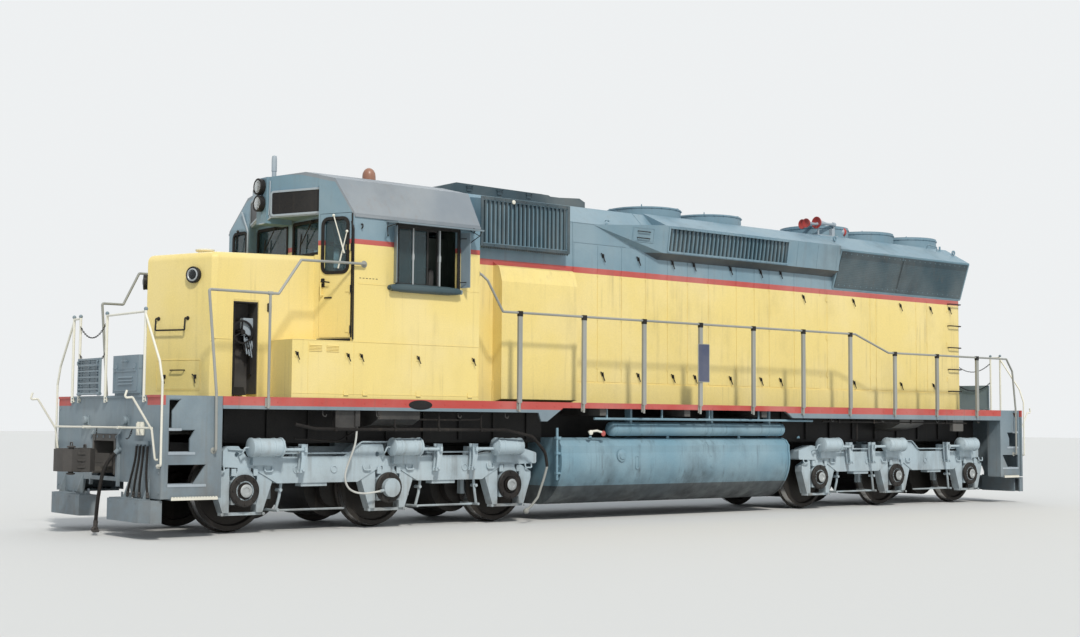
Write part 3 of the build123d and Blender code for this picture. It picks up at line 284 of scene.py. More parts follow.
def finish_of(name, colour, metallic=0.0, gloss=0.42, bands=(), fade=0.1, streaks=0.25, sooting=0.1,
        dusting=0.25, dust_top=1.9, dust=DUST, chips=0.0, under=(0.1, 0.06, 0.04), chip_size=9.0, waves=1.0,
        lumps=0.0, relief=0.004, coat=0.0):
    """A paint or metal: its bands, then chips, weather and dust, with relief from plating or casting."""
    made = bpy.data.materials.new(name)
    made.use_nodes = True
    tree = made.node_tree
    shader = tree.nodes["Principled BSDF"]
    paint = mix(tree, 0.0, colour, colour)
    for band in bands:
        low, high, tint = band[:3]
        half_width = band[3] if len(band) > 3 else 0.0
        half_length = band[4] if len(band) > 4 else 0.0
        mask = place(tree, BAND, low=low + RAIL, high=high + RAIL, half_width=half_width,
                half_length=half_length, tilt=0.7 if half_width else 2.0)["Mask"]
        paint = mix(tree, mask, paint, tint)
    height = place(tree, PLATING, waves=waves)["Height"]
    if lumps:
        height = math(tree, "ADD", height, place(tree, CASTING, lumps=lumps)["Height"])
    if chips:
        flaked = place(tree, CHIPS, amount=chips, size=chip_size)
        paint = mix(tree, flaked["Mask"], paint, under)
        height = math(tree, "ADD", height, math(tree, "MULTIPLY", flaked["Height"], 0.25))
    worn = place(tree, WEATHER, paint=paint, dust=dust, soot=SOOT, fade=fade, streaks=streaks,
            sooting=sooting, dusting=dusting, dust_top=dust_top, gloss=gloss)
    tree.links.new(worn["Colour"], shader.inputs["Base Color"])
    tree.links.new(worn["Roughness"], shader.inputs["Roughness"])
    shader.inputs["Metallic"].default_value = metallic
    shader.inputs["Coat Weight"].default_value = coat
    bump = add(tree, "ShaderNodeBump", {"Height": height, "Strength": 0.35, "Distance": relief})
    tree.links.new(bump.outputs["Normal"], shader.inputs["Normal"])
    return made


HOOD_BANDS = ((3.672, 9.0, GREY), (3.585, 3.672, RED))
CAB_BANDS = ((3.705, 9.0, GREY), (3.64, 3.705, RED))
SILL_BANDS = ((0.0, 9.0, FRAME_GREY, 1.5), (1.552, 1.7, RED, 1.5))
PILOT_BANDS = ((0.0, 9.0, FRAME_GREY), (1.545, 1.7, RED, 1.135, 8.55))

nose_paint = finish_of("nose_paint", YELLOW, streaks=0.22, dusting=0.2, dust_top=2.6, chips=0.1, coat=0.15)
hood_paint = finish_of("hood_paint", YELLOW, bands=HOOD_BANDS, streaks=0.3, sooting=0.14, dust_top=2.3,
        chips=0.16, coat=0.15)
cab_paint = finish_of("cab_paint", YELLOW, bands=CAB_BANDS, streaks=0.22, dust_top=2.5, chips=0.1, coat=0.15)
roof_paint = finish_of("roof_paint", GREY, streaks=0.3, sooting=0.32, dusting=0.0, chips=0.15, gloss=0.5)
cab_roof_paint = finish_of("cab_roof_paint", ROOF_GREY, streaks=0.35, sooting=0.16, dusting=0.0, gloss=0.52,
        dust=(0.24, 0.2, 0.17))
sill_paint = finish_of("sill_paint", BLACK, bands=SILL_BANDS, streaks=0.3, dusting=0.4, dust_top=1.7,
        chips=0.22, gloss=0.5)
pilot_paint = finish_of("pilot_paint", FRAME_GREY, bands=PILOT_BANDS, streaks=0.4, sooting=0.3, dusting=0.45,
        dust_top=1.7, chips=0.3, gloss=0.5)
trim_paint = finish_of("trim_paint", FRAME_GREY, streaks=0.25, dusting=0.1, chips=0.2)
# The dark band below 0.47 m on the tank is painted shade where it curves under; near-black dust makes it
# darker towards the bottom.
tank_paint = finish_of("tank_paint", (0.165, 0.3, 0.38), bands=((0.0, 0.47, (0.045, 0.07, 0.085)),),
        streaks=0.55, sooting=0.6, dusting=1.0, dust_top=1.0, chips=0.12, gloss=0.4, waves=2.5,
        dust=(0.018, 0.019, 0.021))
truck_paint = finish_of("truck_paint", SILVER, streaks=0.5, sooting=0.55, dusting=0.75, dust_top=0.95,
        chips=0.35, under=(0.09, 0.055, 0.04), waves=0.2, lumps=0.5, relief=0.003, gloss=0.48)
wheel_steel = finish_of("wheel_steel", (0.022, 0.021, 0.021), metallic=0.4, streaks=0.2, sooting=0.4,
        dusting=0.07, fade=0.02, dust_top=1.1, lumps=0.5, gloss=0.5)
tread_steel = finish_of("tread_steel", (0.55, 0.55, 0.55), metallic=1.0, streaks=0.1, sooting=0.1,
        dusting=0.1, gloss=0.22)
motor_black_and_shade = finish_of("motor_black_and_shade", (0.014, 0.014, 0.015), sooting=0.3, dusting=0.04, dust_top=1.2,
        fade=0.02, lumps=0.6)
black_paint_and_shade = finish_of("black_paint_and_shade", BLACK, streaks=0.1, sooting=0.1, dusting=0.02, fade=0.02, gloss=0.4)
grille_paint = finish_of("grille_paint", (0.02, 0.055, 0.075), streaks=0.3, sooting=0.4, dusting=0.0,
        gloss=0.5)
rail_paint = finish_of("rail_paint", (0.28, 0.29, 0.27), streaks=0.1, dusting=0.1, chips=0.25, chip_size=30,
        waves=0.1)
white_paint = finish_of("white_paint", (0.78, 0.76, 0.66), streaks=0.15, sooting=0.12, dusting=0.15,
        chips=0.25, chip_size=30, waves=0.1)
rust_iron_and_shade = finish_of("rust_iron_and_shade", (0.042, 0.04, 0.04), metallic=0.2, sooting=0.5, dusting=0.08, lumps=1.0,
        gloss=0.68, relief=0.004, streaks=0.3, fade=0.06)
fan_metal = finish_of("fan_metal", (0.22, 0.25, 0.27), metallic=0.7, sooting=0.4, dusting=0.0)
engine_paint = finish_of("engine_paint", (0.16, 0.17, 0.17), sooting=0.4, lumps=0.4)
interior_paint = finish_of("interior_paint", (0.05, 0.075, 0.065), sooting=0.2, dusting=0.0)
chrome = finish_of("chrome", (0.75, 0.76, 0.78), metallic=1.0, gloss=0.16, sooting=0.1, streaks=0.05,
        dusting=0.0, waves=0.1)
horn_red = finish_of("horn_red", (0.4, 0.03, 0.025), gloss=0.4, dusting=0.0)
rubber_black = finish_of("rubber_black", (0.01, 0.01, 0.011), gloss=0.62, dusting=0.0, fade=0.02, waves=0.1)
vinyl_black = finish_of("vinyl_black", (0.025, 0.025, 0.028), gloss=0.5, dusting=0.0, fade=0.03, lumps=0.25,
        relief=0.0015, waves=0.2)
sash_metal = finish_of("sash_metal", (0.42, 0.45, 0.46), metallic=0.5, gloss=0.42, streaks=0.3, sooting=0.2,
        dusting=0.0, waves=0.1)
pale_trim = finish_of("pale_trim", (0.34, 0.4, 0.45), gloss=0.45, streaks=0.25, sooting=0.1, dusting=0.0,
        waves=0.2)
amber = finish_of("amber", (0.26, 0.085, 0.035), gloss=0.3, dusting=0.0, sooting=0.1, waves=0.1)
board_blue = finish_of("board_blue", (0.018, 0.035, 0.1), gloss=0.35, streaks=0.2, dusting=0.1, chips=0.1,
        chip_size=20)
radiator_paint = finish_of("radiator_paint", (0.13, 0.25, 0.32), streaks=0.3, sooting=0.3, dusting=0.0,
        gloss=0.5)
rest_vinyl = finish_of("rest_vinyl", (0.02, 0.055, 0.07), gloss=0.5, dusting=0.1, fade=0.04, lumps=0.25)
hatch_paint_and_shade = finish_of("hatch_paint_and_shade", (0.022, 0.055, 0.075), streaks=0.3, sooting=0.5, dusting=0.0,
        gloss=0.5)
mesh_paint = finish_of("mesh_paint", (0.05, 0.115, 0.15), streaks=0.3, sooting=0.45, dusting=0.0, lumps=1.0)
# The dark band from 3.8 to 3.986 m is painted shade on the blister's underside.
blister_paint = finish_of("blister_paint", GREY, bands=((3.8, 3.986, (0.03, 0.05, 0.065)),), streaks=0.3,
        sooting=0.32, dusting=0.0, chips=0.15, gloss=0.5)
rail_ends_paint = finish_of("rail_ends_paint", (0.28, 0.29, 0.27),
        bands=((0.0, 9.0, (0.78, 0.76, 0.66), 0.0, 7.78),), streaks=0.15, sooting=0.12, dusting=0.15,
        chips=0.25, chip_size=30, waves=0.1)
cable_white = finish_of("cable_white", (0.62, 0.63, 0.6), gloss=0.5, streaks=0.1, sooting=0.25, waves=0.1)


def glass_of(name, tint):
    """Clear glass with a film of dust that dulls it unevenly."""
    made = bpy.data.materials.new(name)
    made.use_nodes = True
    tree = made.node_tree
    shader = tree.nodes["Principled BSDF"]
    film = ramp(tree, noise(tree, here(tree), 5, 5), 0.3, 0.8, 0.03, 0.19)
    tree.links.new(film, shader.inputs["Roughness"])
    dirt = ramp(tree, noise(tree, stretched(tree, here(tree), (3, 3, 0.6)), 3, 5), 0.45, 0.8, 0.0, 0.35)
    tree.links.new(mix(tree, dirt, tint, (0.3, 0.28, 0.24)), shader.inputs["Base Color"])
    shader.inputs["Transmission Weight"].default_value = 0.85
    shader.inputs["IOR"].default_value = 1.45
    return made


window_glass = glass_of("window_glass", (0.13, 0.24, 0.27))
lens_glass = glass_of("lens_glass", (0.9, 0.93, 0.93))
lens_dark = glass_of("lens_dark", (0.05, 0.06, 0.07))

for finish in (black_paint_and_shade, rubber_black, motor_black_and_shade, wheel_steel):
    finish.node_tree.nodes["Principled BSDF"].inputs["Specular IOR Level"].default_value = DULL

NODE_FINISH = {
    nose_paint: ("short_hood", "walkway_boxes"),
    hood_paint: ("long_hood", "air_intakes"),
    cab_paint: ("cab_shell", "cab_door_front", "cab_door_rear"),
    roof_paint: ("radiator_housing", "fan_housings"),
    blister_paint: ("brake_blister",),
    cab_roof_paint: ("cab_roof",),
    sill_paint: ("underframe",),
    pilot_paint: ("pilot_front", "pilot_rear", "drop_step_front", "drop_step_rear"),
    trim_paint: ("window_awnings",),
    tank_paint: ("fuel_tank", "air_reservoirs"),
    truck_paint: ("truck_frame_front", "truck_frame_rear", "truck_gear_front", "truck_gear_rear"),
    wheel_steel: tuple(f"wheelset_{n}" for n in range(1, 7)),
    motor_black_and_shade: ("truck_motors_front", "truck_motors_rear"),
    black_paint_and_shade: ("lamps", "hand_brake"),
    grille_paint: ("grille_fins",),
    rail_paint: ("side_handrails",),
    rail_ends_paint: ("end_handrails",),
    rust_iron_and_shade: ("coupler_front", "coupler_rear", "hose_fittings"),
    fan_metal: tuple(f"fan_rotor_{n}" for n in range(1, 6)),
    engine_paint: ("power_plant",),
    interior_paint: ("cab_fittings", "cab_floor"),
    window_glass: ("cab_glass",),
    vinyl_black: ("cab_seats",),
}
for finish, names in NODE_FINISH.items():
    for name in names:
        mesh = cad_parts[name].data
        mesh.materials.clear()
        mesh.materials.append(finish)


# Mesh helpers

def about(middle, half):
    return middle - half, middle + half


def block(mesh, x, y, z):
    """Adds a box between a low and a high place on each axis."""
    corners = [mesh.verts.new((a, b, c)) for a in sorted(x) for b in sorted(y) for c in sorted(z)]
    for face in ((0, 1, 3, 2), (4, 6, 7, 5), (0, 4, 5, 1), (2, 3, 7, 6), (0, 2, 6, 4), (1, 5, 7, 3)):
        mesh.faces.new([corners[n] for n in face])


def walled(mesh, near, far):
    """Closes the space between two rows of corners with two ends and a wall around."""
    mesh.faces.new(near[::-1])
    mesh.faces.new(far)
    for n in range(len(near)):
        m = (n + 1) % len(near)
        mesh.faces.new((near[n], near[m], far[m], far[n]))


def prism(mesh, outline, axis, low, high):
    """Adds an outline in the two other axes, in X, Y, Z order, drawn out along one axis."""
    order = {"X": lambda a, b, c: (c, a, b), "Y": lambda a, b, c: (a, c, b), "Z": lambda a, b,
            c: (a, b, c)}[axis]
    near, far = ([mesh.verts.new(order(a, b, level)) for a, b in outline] for level in (low, high))
    walled(mesh, near, far)


def turned(mesh, centre, direction, profile, sides=24):
    """Adds a turned shape: a profile of (radius, distance along) about a direction from a centre."""
    centre = Vector(centre)
    turn = Vector(direction).to_track_quat("Z", "Y")
    rings = []
    for radius, along in profile:
        if radius < 1e-6:
            rings.append([mesh.verts.new(centre + turn @ Vector((0, 0, along)))])
            continue
        rings.append([mesh.verts.new(centre + turn @ Vector((radius * cos(a), radius * sin(a), along)))
                for a in (2 * pi * n / sides for n in range(sides))])
    for one, two in zip(rings, rings[1:]):
        for n in range(sides):
            corners = [one[n % len(one)], one[(n + 1) % len(one)], two[(n + 1) % len(two)], two[n % len(two)]]
            corners = list(dict.fromkeys(corners))
            if len(corners) > 2:
                mesh.faces.new(corners)
    for ring in (rings[0], rings[-1]):
        if len(ring) > 1 and rings[0] is not rings[-1] and profile[0] != profile[-1]:
            mesh.faces.new(ring)


def rod(mesh, start, end, radius, sides=12):
    along = Vector(end) - Vector(start)
    turned(mesh, start, along, [(radius, 0), (radius, along.length)], sides)


def bolt(mesh, centre, direction, radius=0.014, height=0.012):
    rod(mesh, centre, Vector(centre) + Vector(direction).normalized() * height, radius, 6)


def pin(mesh, middle, reach, radius, sides):
    """Adds a rod through a middle, which reaches as far both ways."""
    middle, reach = Vector(middle), Vector(reach)
    rod(mesh, middle - reach, middle + reach, radius, sides)


def circle(count, radius=1.0, start=0.0):
    """Pairs of offsets spaced evenly round a circle."""
    return [(radius * cos(a), radius * sin(a)) for a in (start + 2 * pi * n / count for n in range(count))]


def ball(mesh, centre, radius, sides=12):
    count = sides // 2
    profile = [(radius * sin(pi * n / count), -radius * cos(pi * n / count)) for n in range(count + 1)]
    turned(mesh, centre, UP, profile, sides)


def rounded(points, bend):
    """A run of points with each corner turned on a short arc."""
    points = [Vector(point) for point in points]
    line = [points[0]]
    for before, corner, after in zip(points, points[1:], points[2:]):
        back, on = before - corner, after - corner
        turn = pi - back.angle(on)
        cut = min(bend * tan(turn / 2), 0.45 * back.length, 0.45 * on.length)
        first, last = corner + back.normalized() * cut, corner + on.normalized() * cut
        count = max(2, ceil(turn / 0.35))
        for n in range(count + 1):
            t = n / count
            line.append(first * (1 - t) ** 2 + corner * 2 * t * (1 - t) + last * t ** 2)
    return line + [points[-1]]


def tube(mesh, points, radius, sides=8, bend=0.04):
    """Adds a round bar through points."""
    line = rounded(points, bend) if bend else [Vector(point) for point in points]
    ahead = (line[1] - line[0]).normalized()
    side = ahead.orthogonal().normalized()
    rings = []
    for n, centre in enumerate(line):
        now = (line[min(n + 1, len(line) - 1)] - line[max(n - 1, 0)]).normalized()
        side = (side - now * side.dot(now)).normalized()
        across = now.cross(side)
        rings.append([mesh.verts.new(centre + radius * (side * cos(a) + across * sin(a)))
                for a in (2 * pi * k / sides for k in range(sides))])
    for one, two in zip(rings, rings[1:]):
        for k in range(sides):
            mesh.faces.new((one[k], one[(k + 1) % sides], two[(k + 1) % sides], two[k]))
    mesh.faces.new(rings[0][::-1])
    mesh.faces.new(rings[-1])


def staple(mesh, start, end, out, radius, sides=8, bend=0.015):
    """Adds a bar bent like a staple: out of one place, across, and back in at another."""
    start, end, out = Vector(start), Vector(end), Vector(out)
    tube(mesh, [start, start + out, end + out, end], radius, sides, bend)


def flange(mesh, centre, direction, radius, neck):
    """Adds a thin round foot that narrows to a neck."""
    turned(mesh, centre, direction, [(radius, 0), (radius, 0.007), (neck, 0.014)], 16)


def strap(mesh, centre, bore, radius, half):
    """Adds a band round a cylinder that lies along X."""
    turned(mesh, centre, AFT, [(bore, -half), (radius, 0.002 - half), (radius, half - 0.002), (bore, half)],
            28)


def copied(mesh, matrix):
    """Adds a copy of all that the mesh holds, moved by a matrix."""
    made = bmesh.ops.duplicate(mesh, geom=mesh.verts[:] + mesh.edges[:] + mesh.faces[:])
    verts = [part for part in made["geom"] if isinstance(part, bmesh.types.BMVert)]
    bmesh.ops.transform(mesh, matrix=matrix, verts=verts)


def both_sides(mesh):
    copied(mesh, Matrix.Scale(-1, 4, RIGHT))


def piece(name, mesh, finish, bevel=0.003, body="carbody", angle=32):
    """Turns a mesh into a piece of the object, lifted to the frame's floor and riding on a body."""
    bmesh.ops.recalc_face_normals(mesh, faces=mesh.faces[:])
    bmesh.ops.translate(mesh, vec=(0, 0, RAIL), verts=mesh.verts[:])
    data = bpy.data.meshes.new(name)
    mesh.to_mesh(data)
    mesh.free()
    data.polygons.foreach_set("use_smooth", [True] * len(data.polygons))
    data.set_sharp_from_angle(angle=radians(angle))
    made = bpy.data.objects.new(name, data)
    bpy.context.scene.collection.objects.link(made)
    data.materials.append(finish)
    if bevel:
        edge = made.modifiers.new("edges", "BEVEL")
        edge.width, edge.segments, edge.limit_method, edge.angle_limit = bevel, 2, "ANGLE", radians(40)
        edge.harden_normals = True
    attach(made, body)
    return made


def turned_piece(name, centre, direction, profile, sides, finish):
    mesh = bmesh.new()
    turned(mesh, centre, direction, profile, sides)
    return piece(name, mesh, finish, 0)


# Hoses and the axle cable, on the routes of the part's own solids

BRAKE_HOSE = (
    (-8.66, -0.4, 0.965), (-8.72, -0.353, 0.89), (-8.77, -0.305, 0.745), (-8.8, -0.287, 0.545),
    (-8.82, -0.27, 0.33), (-8.83, -0.266, 0.13),
)
JUMPER_TOPS = (-0.92, -1.015, -1.115, -1.225)
JUMPER_LEANS = (0.2, 0.13, 0.075, -0.035)
JUMPER_TOP_Z = 1.06
AXLE_CABLE = (
    (-5.88, -1.45, 1.255), (-5.872, -1.432, 1.11), (-5.915, -1.385, 0.93), (-5.955, -1.345, 0.78),
    (-5.965, -1.315, 0.65), (-5.915, -1.3, 0.53), (-5.81, -1.29, 0.465), (-5.665, -1.28, 0.44),
    (-5.52, -1.27, 0.448), (-5.38, -1.256, 0.466),
)


def jumper_route(number):
    y, lean = JUMPER_TOPS[number], JUMPER_LEANS[number]
    return (
        (-8.625, y, JUMPER_TOP_Z), (-8.63, y + 0.02 * lean, 0.93), (-8.641, y + 0.25 * lean, 0.78),
        (-8.643, y + 0.65 * lean, 0.63), (-8.634, y + lean, 0.505),
    )


def lifted(point):
    return (point[0], point[1], point[2] + RAIL)


def spline(name, route, diameter):
    """A round curve on a route: a smooth line with the route's points as its control points."""
    curve = bpy.data.curves.new(name, "CURVE")
    curve.dimensions = "3D"
    curve.resolution_u = 8
    curve.bevel_depth = diameter / 2
    curve.bevel_resolution = 4
    curve.use_fill_caps = True
    line = curve.splines.new("NURBS")
    line.points.add(len(route) - 1)
    for point, place_on in zip(line.points, route):
        point.co = (*lifted(place_on), 1)
    line.order_u = 3
    line.use_endpoint_u = True
    made = bpy.data.objects.new(name, curve)
    bpy.context.scene.collection.objects.link(made)
    return made


def free_hose(name, route, diameter, node):
    hose = spline(name, route, diameter)
    hose.data.materials.append(rubber_black)
    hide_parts(node)
    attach(hose, "carbody")


def past_end(route, reach):
    before, last = Vector(route[-2]), Vector(route[-1])
    return last + (last - before).normalized() * reach


def brake_coupling():
    """The hooked coupling that hangs at the end of the brake hose, with its ring and guide."""
    mesh = bmesh.new()
    neck = past_end(BRAKE_HOSE, 0.07)
    rod(mesh, past_end(BRAKE_HOSE, -0.02), neck, 0.027, 20)
    for reach in (0.004, 0.022):
        centre = past_end(BRAKE_HOSE, reach - 0.02)
        rod(mesh, centre, centre + (neck - centre).normalized() * 0.008, 0.03, 20)
    x, y, z = neck
    block(mesh, (x - 0.033, x + 0.028), (y - 0.026, y + 0.03), (0.016, z + 0.006))
    turned(mesh, (x - 0.02, y + 0.004, 0.044), LEFT, [
        (0.0, 0.0), (0.034, 0.0), (0.036, 0.01), (0.036, 0.05), (0.03, 0.058), (0.017, 0.058), (0.015, 0.05),
        (0.0, 0.05),
    ], 24)
    prism(mesh, [(x - 0.05, 0.014), (x + 0.02, 0.012), (x + 0.034, 0.03), (x + 0.02, 0.042),
            (x - 0.04, 0.036)], "Y", y - 0.062, y - 0.052)
    return piece("brake_coupling", mesh, rust_iron_and_shade, 0.002)


def jumper_coupling(number):
    mesh = bmesh.new()
    route = jumper_route(number)
    start, end = past_end(route, -0.015), past_end(route, 0.052)
    turned(mesh, start, end - start, [(0.0162, 0), (0.019, 0.006), (0.019, 0.03), (0.0165, 0.034),
            (0.0165, 0.042), (0.021, 0.046), (0.021, 0.064), (0.014, 0.067), (0.0, 0.067)])
    return piece(f"jumper_coupling_{number + 1}", mesh, rust_iron_and_shade, 0)


coupling = brake_coupling()
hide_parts("hose_fittings")
free_hose("brake_hose_visual", BRAKE_HOSE, 0.046, "brake_hose")
for number in range(4):
    end_piece = jumper_coupling(number)
    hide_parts("hose_fittings")
    free_hose(f"jumper_hose_{number + 1}_visual", jumper_route(number), 0.028,
            f"jumper_hose_{number + 1}")


def axle_cable():
    """The white cable down to the middle journal: a mesh tube from the body to the truck, left with no
    parent.
    """
    line = spline("axle_cable_line", AXLE_CABLE, 0)
    line.data.resolution_u = 12
    traced = bpy.data.meshes.new_from_object(line)
    path = [vertex.co.copy() for vertex in traced.vertices]
    bpy.data.objects.remove(line)
    mesh = bmesh.new()
    tube(mesh, [point - Vector((0, 0, RAIL)) for point in path], 0.013, 10, bend=0)
    made = piece("axle_cable_visual", mesh, cable_white, 0, body="truck_front")
    made.parent = None
    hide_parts("axle_cable")
    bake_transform(made)


axle_cable()


# Studio

def studio():
    scene = bpy.context.scene
    scene.view_settings.view_transform = "Standard"
    floor_mesh = bmesh.new()
    bmesh.ops.create_grid(floor_mesh, x_segments=1, y_segments=1, size=160)
    data = bpy.data.meshes.new("floor")
    floor_mesh.to_mesh(data)
    floor_mesh.free()
    floor = bpy.data.objects.new("floor", data)
    scene.collection.objects.link(floor)
    pale = bpy.data.materials.new("floor")
    pale.use_nodes = True
    pale.node_tree.nodes["Principled BSDF"].inputs["Base Color"].default_value = (0.62, 0.62, 0.61, 1)
    pale.node_tree.nodes["Principled BSDF"].inputs["Roughness"].default_value = 0.9
    data.materials.append(pale)

    world = bpy.data.worlds.new("studio")
    scene.world = world
    world.use_nodes = True
    tree = world.node_tree
    tree.nodes.clear()
    seen = add(tree, "ShaderNodeLightPath").outputs
    shown = math(tree, "MAXIMUM", seen["Is Camera Ray"], seen["Is Transmission Ray"])
    shown = math(tree, "MAXIMUM", shown, seen["Is Glossy Ray"])
    soft = add(tree, "ShaderNodeBackground", {"Color": (0.86, 0.93, 1.0, 1), "Strength": 0.62})
    plain = add(tree, "ShaderNodeBackground", {"Color": (0.93, 0.95, 0.96, 1), "Strength": 0.92})
    both = add(tree, "ShaderNodeMixShader", {0: shown, 1: soft.outputs[0], 2: plain.outputs[0]})
    out = add(tree, "ShaderNodeOutputWorld")
    tree.links.new(both.outputs[0], out.inputs["Surface"])

    for name, towards, strength, angle, tint in (
        ("key", (-0.24, -0.66, 0.71), 2.55, 6, (1.0, 0.965, 0.9)),
        ("fill", (0.55, 0.65, 0.55), 0.35, 50, (0.9, 0.95, 1.0)),
    ):
        lamp = bpy.data.lights.new(name, "SUN")
        lamp.energy, lamp.angle, lamp.color = strength, radians(angle), tint
        made = bpy.data.objects.new(name, lamp)
        made.rotation_euler = Vector(towards).to_track_quat("Z", "Y").to_euler()
        scene.collection.objects.link(made)


studio()

# Shapes laid on a face

HOOD_SIDE = 0.95
CAB_SIDE = 1.5
CAB_REAR = -3.98
HOOD_REAR = 7.56
RAIL_LINE = 1.548
SLANT = (0.4667, -1, 0)
BROW = (0.4082, -1, 0)


def face_at(centre, right, up=UP):
    """Turns places on a face (to its right, up it, out of it) into places on the object."""
    centre, right, up = Vector(centre), Vector(right).normalized(), Vector(up)
    out = right.cross(up)
    return lambda a, b, c=0.0: centre + right * a + up * b + out * c


def out_of(face):
    return face(0, 0, 1) - face(0, 0, 0)


def soft_outline(width, height, corner, steps=5):
    corner = min(corner, width / 2, height / 2)
    points = []
    for across, upright, start in ((1, 1, 0), (-1, 1, 90), (-1, -1, 180), (1, -1, 270)):
        for n in range(steps + 1):
            a = radians(start + 90 * n / steps)
            points.append((across * (width / 2 - corner) + corner * cos(a), upright * (height / 2 - corner)
                    + corner * sin(a)))
    return points


def corners_of(a, b):
    return [(a[0], b[0]), (a[1], b[0]), (a[1], b[1]), (a[0], b[1])]


def panel_on(mesh, face, outline, low, high):
    """Adds a flat panel on a face, from one height above it to another."""
    near, far = ([mesh.verts.new(face(a, b, c)) for a, b in outline] for c in (low, high))
    walled(mesh, near, far)


def leaf_on(mesh, face, width, height, corner, low, high):
    panel_on(mesh, face, soft_outline(width, height, corner), low, high)


def ring_on(mesh, face, width, height, corner, band, low, high):
    """Adds a rounded frame on a face; its band goes inwards from the width and height."""
    outer = soft_outline(width, height, corner)
    inner = soft_outline(width - 2 * band, height - 2 * band, max(corner - band, 0.004))
    rows = []
    for outline, c in ((outer, low), (outer, high), (inner, high), (inner, low)):
        rows.append([mesh.verts.new(face(a, b, c)) for a, b in outline])
    for one, two in zip(rows, rows[1:] + rows[:1]):
        for n in range(len(one)):
            m = (n + 1) % len(one)
            mesh.faces.new((one[n], one[m], two[m], two[n]))


def slant_place(y, z):
    """A place on the slanted wall with the front door."""
    return Vector((-6.69 + SLANT[0] * abs(y), y, z))


def brow_face(side, centre):
    return face_at(centre, (-side * BROW[0], BROW[1], 0))


def brow_place(y, z, ahead=0.0):
    return Vector((-6.52 + BROW[0] * abs(y), y, z)) - Vector((ahead, 0, 0))


# Windows and doors of the cab

SIDE_WINDOW = ((-5.32, -4.35), (3.15, 3.93))


def door_panes():
    mesh = bmesh.new()
    face = face_at(slant_place(-1.24, 3.63), SLANT)
    leaf_on(mesh, face, 0.362, 0.678, 0.07, -0.026, -0.02)
    piece("cab_door_front_pane", mesh, window_glass, 0, body="door_front")
    mesh = bmesh.new()
    leaf_on(mesh, face_at((CAB_REAR, 1.24, 3.6), RIGHT), 0.318, 0.598, 0.05, -0.026, -0.02)
    piece("cab_door_rear_pane", mesh, window_glass, 0, body="door_rear")


def window_rubbers():
    """Black rubber around the windows of the doors and of the right corner."""
    for end, face, sizes in (
        ("front", face_at(slant_place(-1.24, 3.63), SLANT), (0.43, 0.745, 0.105, 0.042, -0.012, 0.013)),
        ("rear", face_at((CAB_REAR, 1.24, 3.6), RIGHT), (0.375, 0.655, 0.07, 0.034, -0.012, 0.002)),
    ):
        mesh = bmesh.new()
        ring_on(mesh, face, *sizes)
        piece(f"cab_door_{end}_rubber", mesh, rubber_black, 0.003, body=f"door_{end}")
    mesh = bmesh.new()
    ring_on(mesh, face_at((-6.19, 1.175, 3.64), LEFT), 0.42, 0.75, 0.09, 0.04, -0.012, 0.013)
    ring_on(mesh, face_at((CAB_REAR, -1.24, 3.6), RIGHT), 0.375, 0.655, 0.07, 0.034, -0.012, 0.012)
    for y in (-0.49, 0.49):
        ring_on(mesh, face_at((-6.06, y, 3.79), LEFT), 0.86, 0.48, 0.06, 0.04, -0.014, 0.01)
    piece("cab_window_rubbers", mesh, rubber_black, 0.003)


def side_sashes():
    """The dark frames of the sliding side windows, the track they run in and their pale bars."""
    (x0, x1), (z0, z1) = SIDE_WINDOW
    middle, height = (z0 + z1) / 2, z1 - z0
    mesh = bmesh.new()
    ring_on(mesh, face_at(((x0 + x1) / 2, -CAB_SIDE, middle), AFT), x1 - x0 + 0.07, height + 0.07, 0.03,
            0.045, -0.004, 0.012)
    for low, high, depth in ((x0 + 0.01, -4.815, 0.034), (-5.06, -4.63, 0.062)):
        ring_on(mesh, face_at(((low + high) / 2, -CAB_SIDE, middle), AFT), high - low, height - 0.012, 0.02,
                0.028, -depth - 0.012, -depth + 0.012)
    block(mesh, (x0, x1), (-CAB_SIDE, -1.445), (z0, z0 + 0.014))
    both_sides(mesh)
    piece("side_sashes", mesh, black_paint_and_shade, 0.002)
    mesh = bmesh.new()
    for x in (-5.06, -4.63):
        block(mesh, about(x, 0.011), (-1.48, -1.424), (z0 + 0.02, z1 - 0.01))
        block(mesh, about(x, 0.016), (-1.484, -1.42), (3.5, 3.58))
    both_sides(mesh)
    piece("sash_bars", mesh, sash_metal, 0.002)


def wipers():
    """Arms and blades: two on the front door's window, one on each other front window."""
    mesh = bmesh.new()
    for top, low in (((-1.233, 4.015), (-1.372, 3.57)), ((-1.42, 3.8), (-1.318, 3.375))):
        a, b = (slant_place(*place_on) + Vector((-0.036, -0.016, 0)) for place_on in (top, low))
        rod(mesh, a, b, 0.0075, 6)
        middle, reach = b, (b - a) * 0.32
        rod(mesh, middle - reach, middle + reach * 0.35, 0.01, 6)
        ball(mesh, a, 0.02, 8)
    piece("front_door_wipers", mesh, white_paint, 0, body="door_front")
    mesh = bmesh.new()
    for x, y, z, dy, dz in ((-6.075, -0.62, 4.005, 0.3, -0.3), (-6.075, 0.36, 4.005, 0.3, -0.3),
            (-6.205, 1.18, 4.02, 0.1, -0.42)):
        start, end = Vector((x - 0.022, y, z)), Vector((x - 0.014, y + dy, z + dz))
        rod(mesh, start, end, 0.008, 6)
        rod(mesh, end - Vector((0, 0.02, -0.16)), end + Vector((0, 0.02, -0.16)), 0.01, 6)
        ball(mesh, start, 0.022, 8)
    piece("windshield_wipers", mesh, black_paint_and_shade, 0)


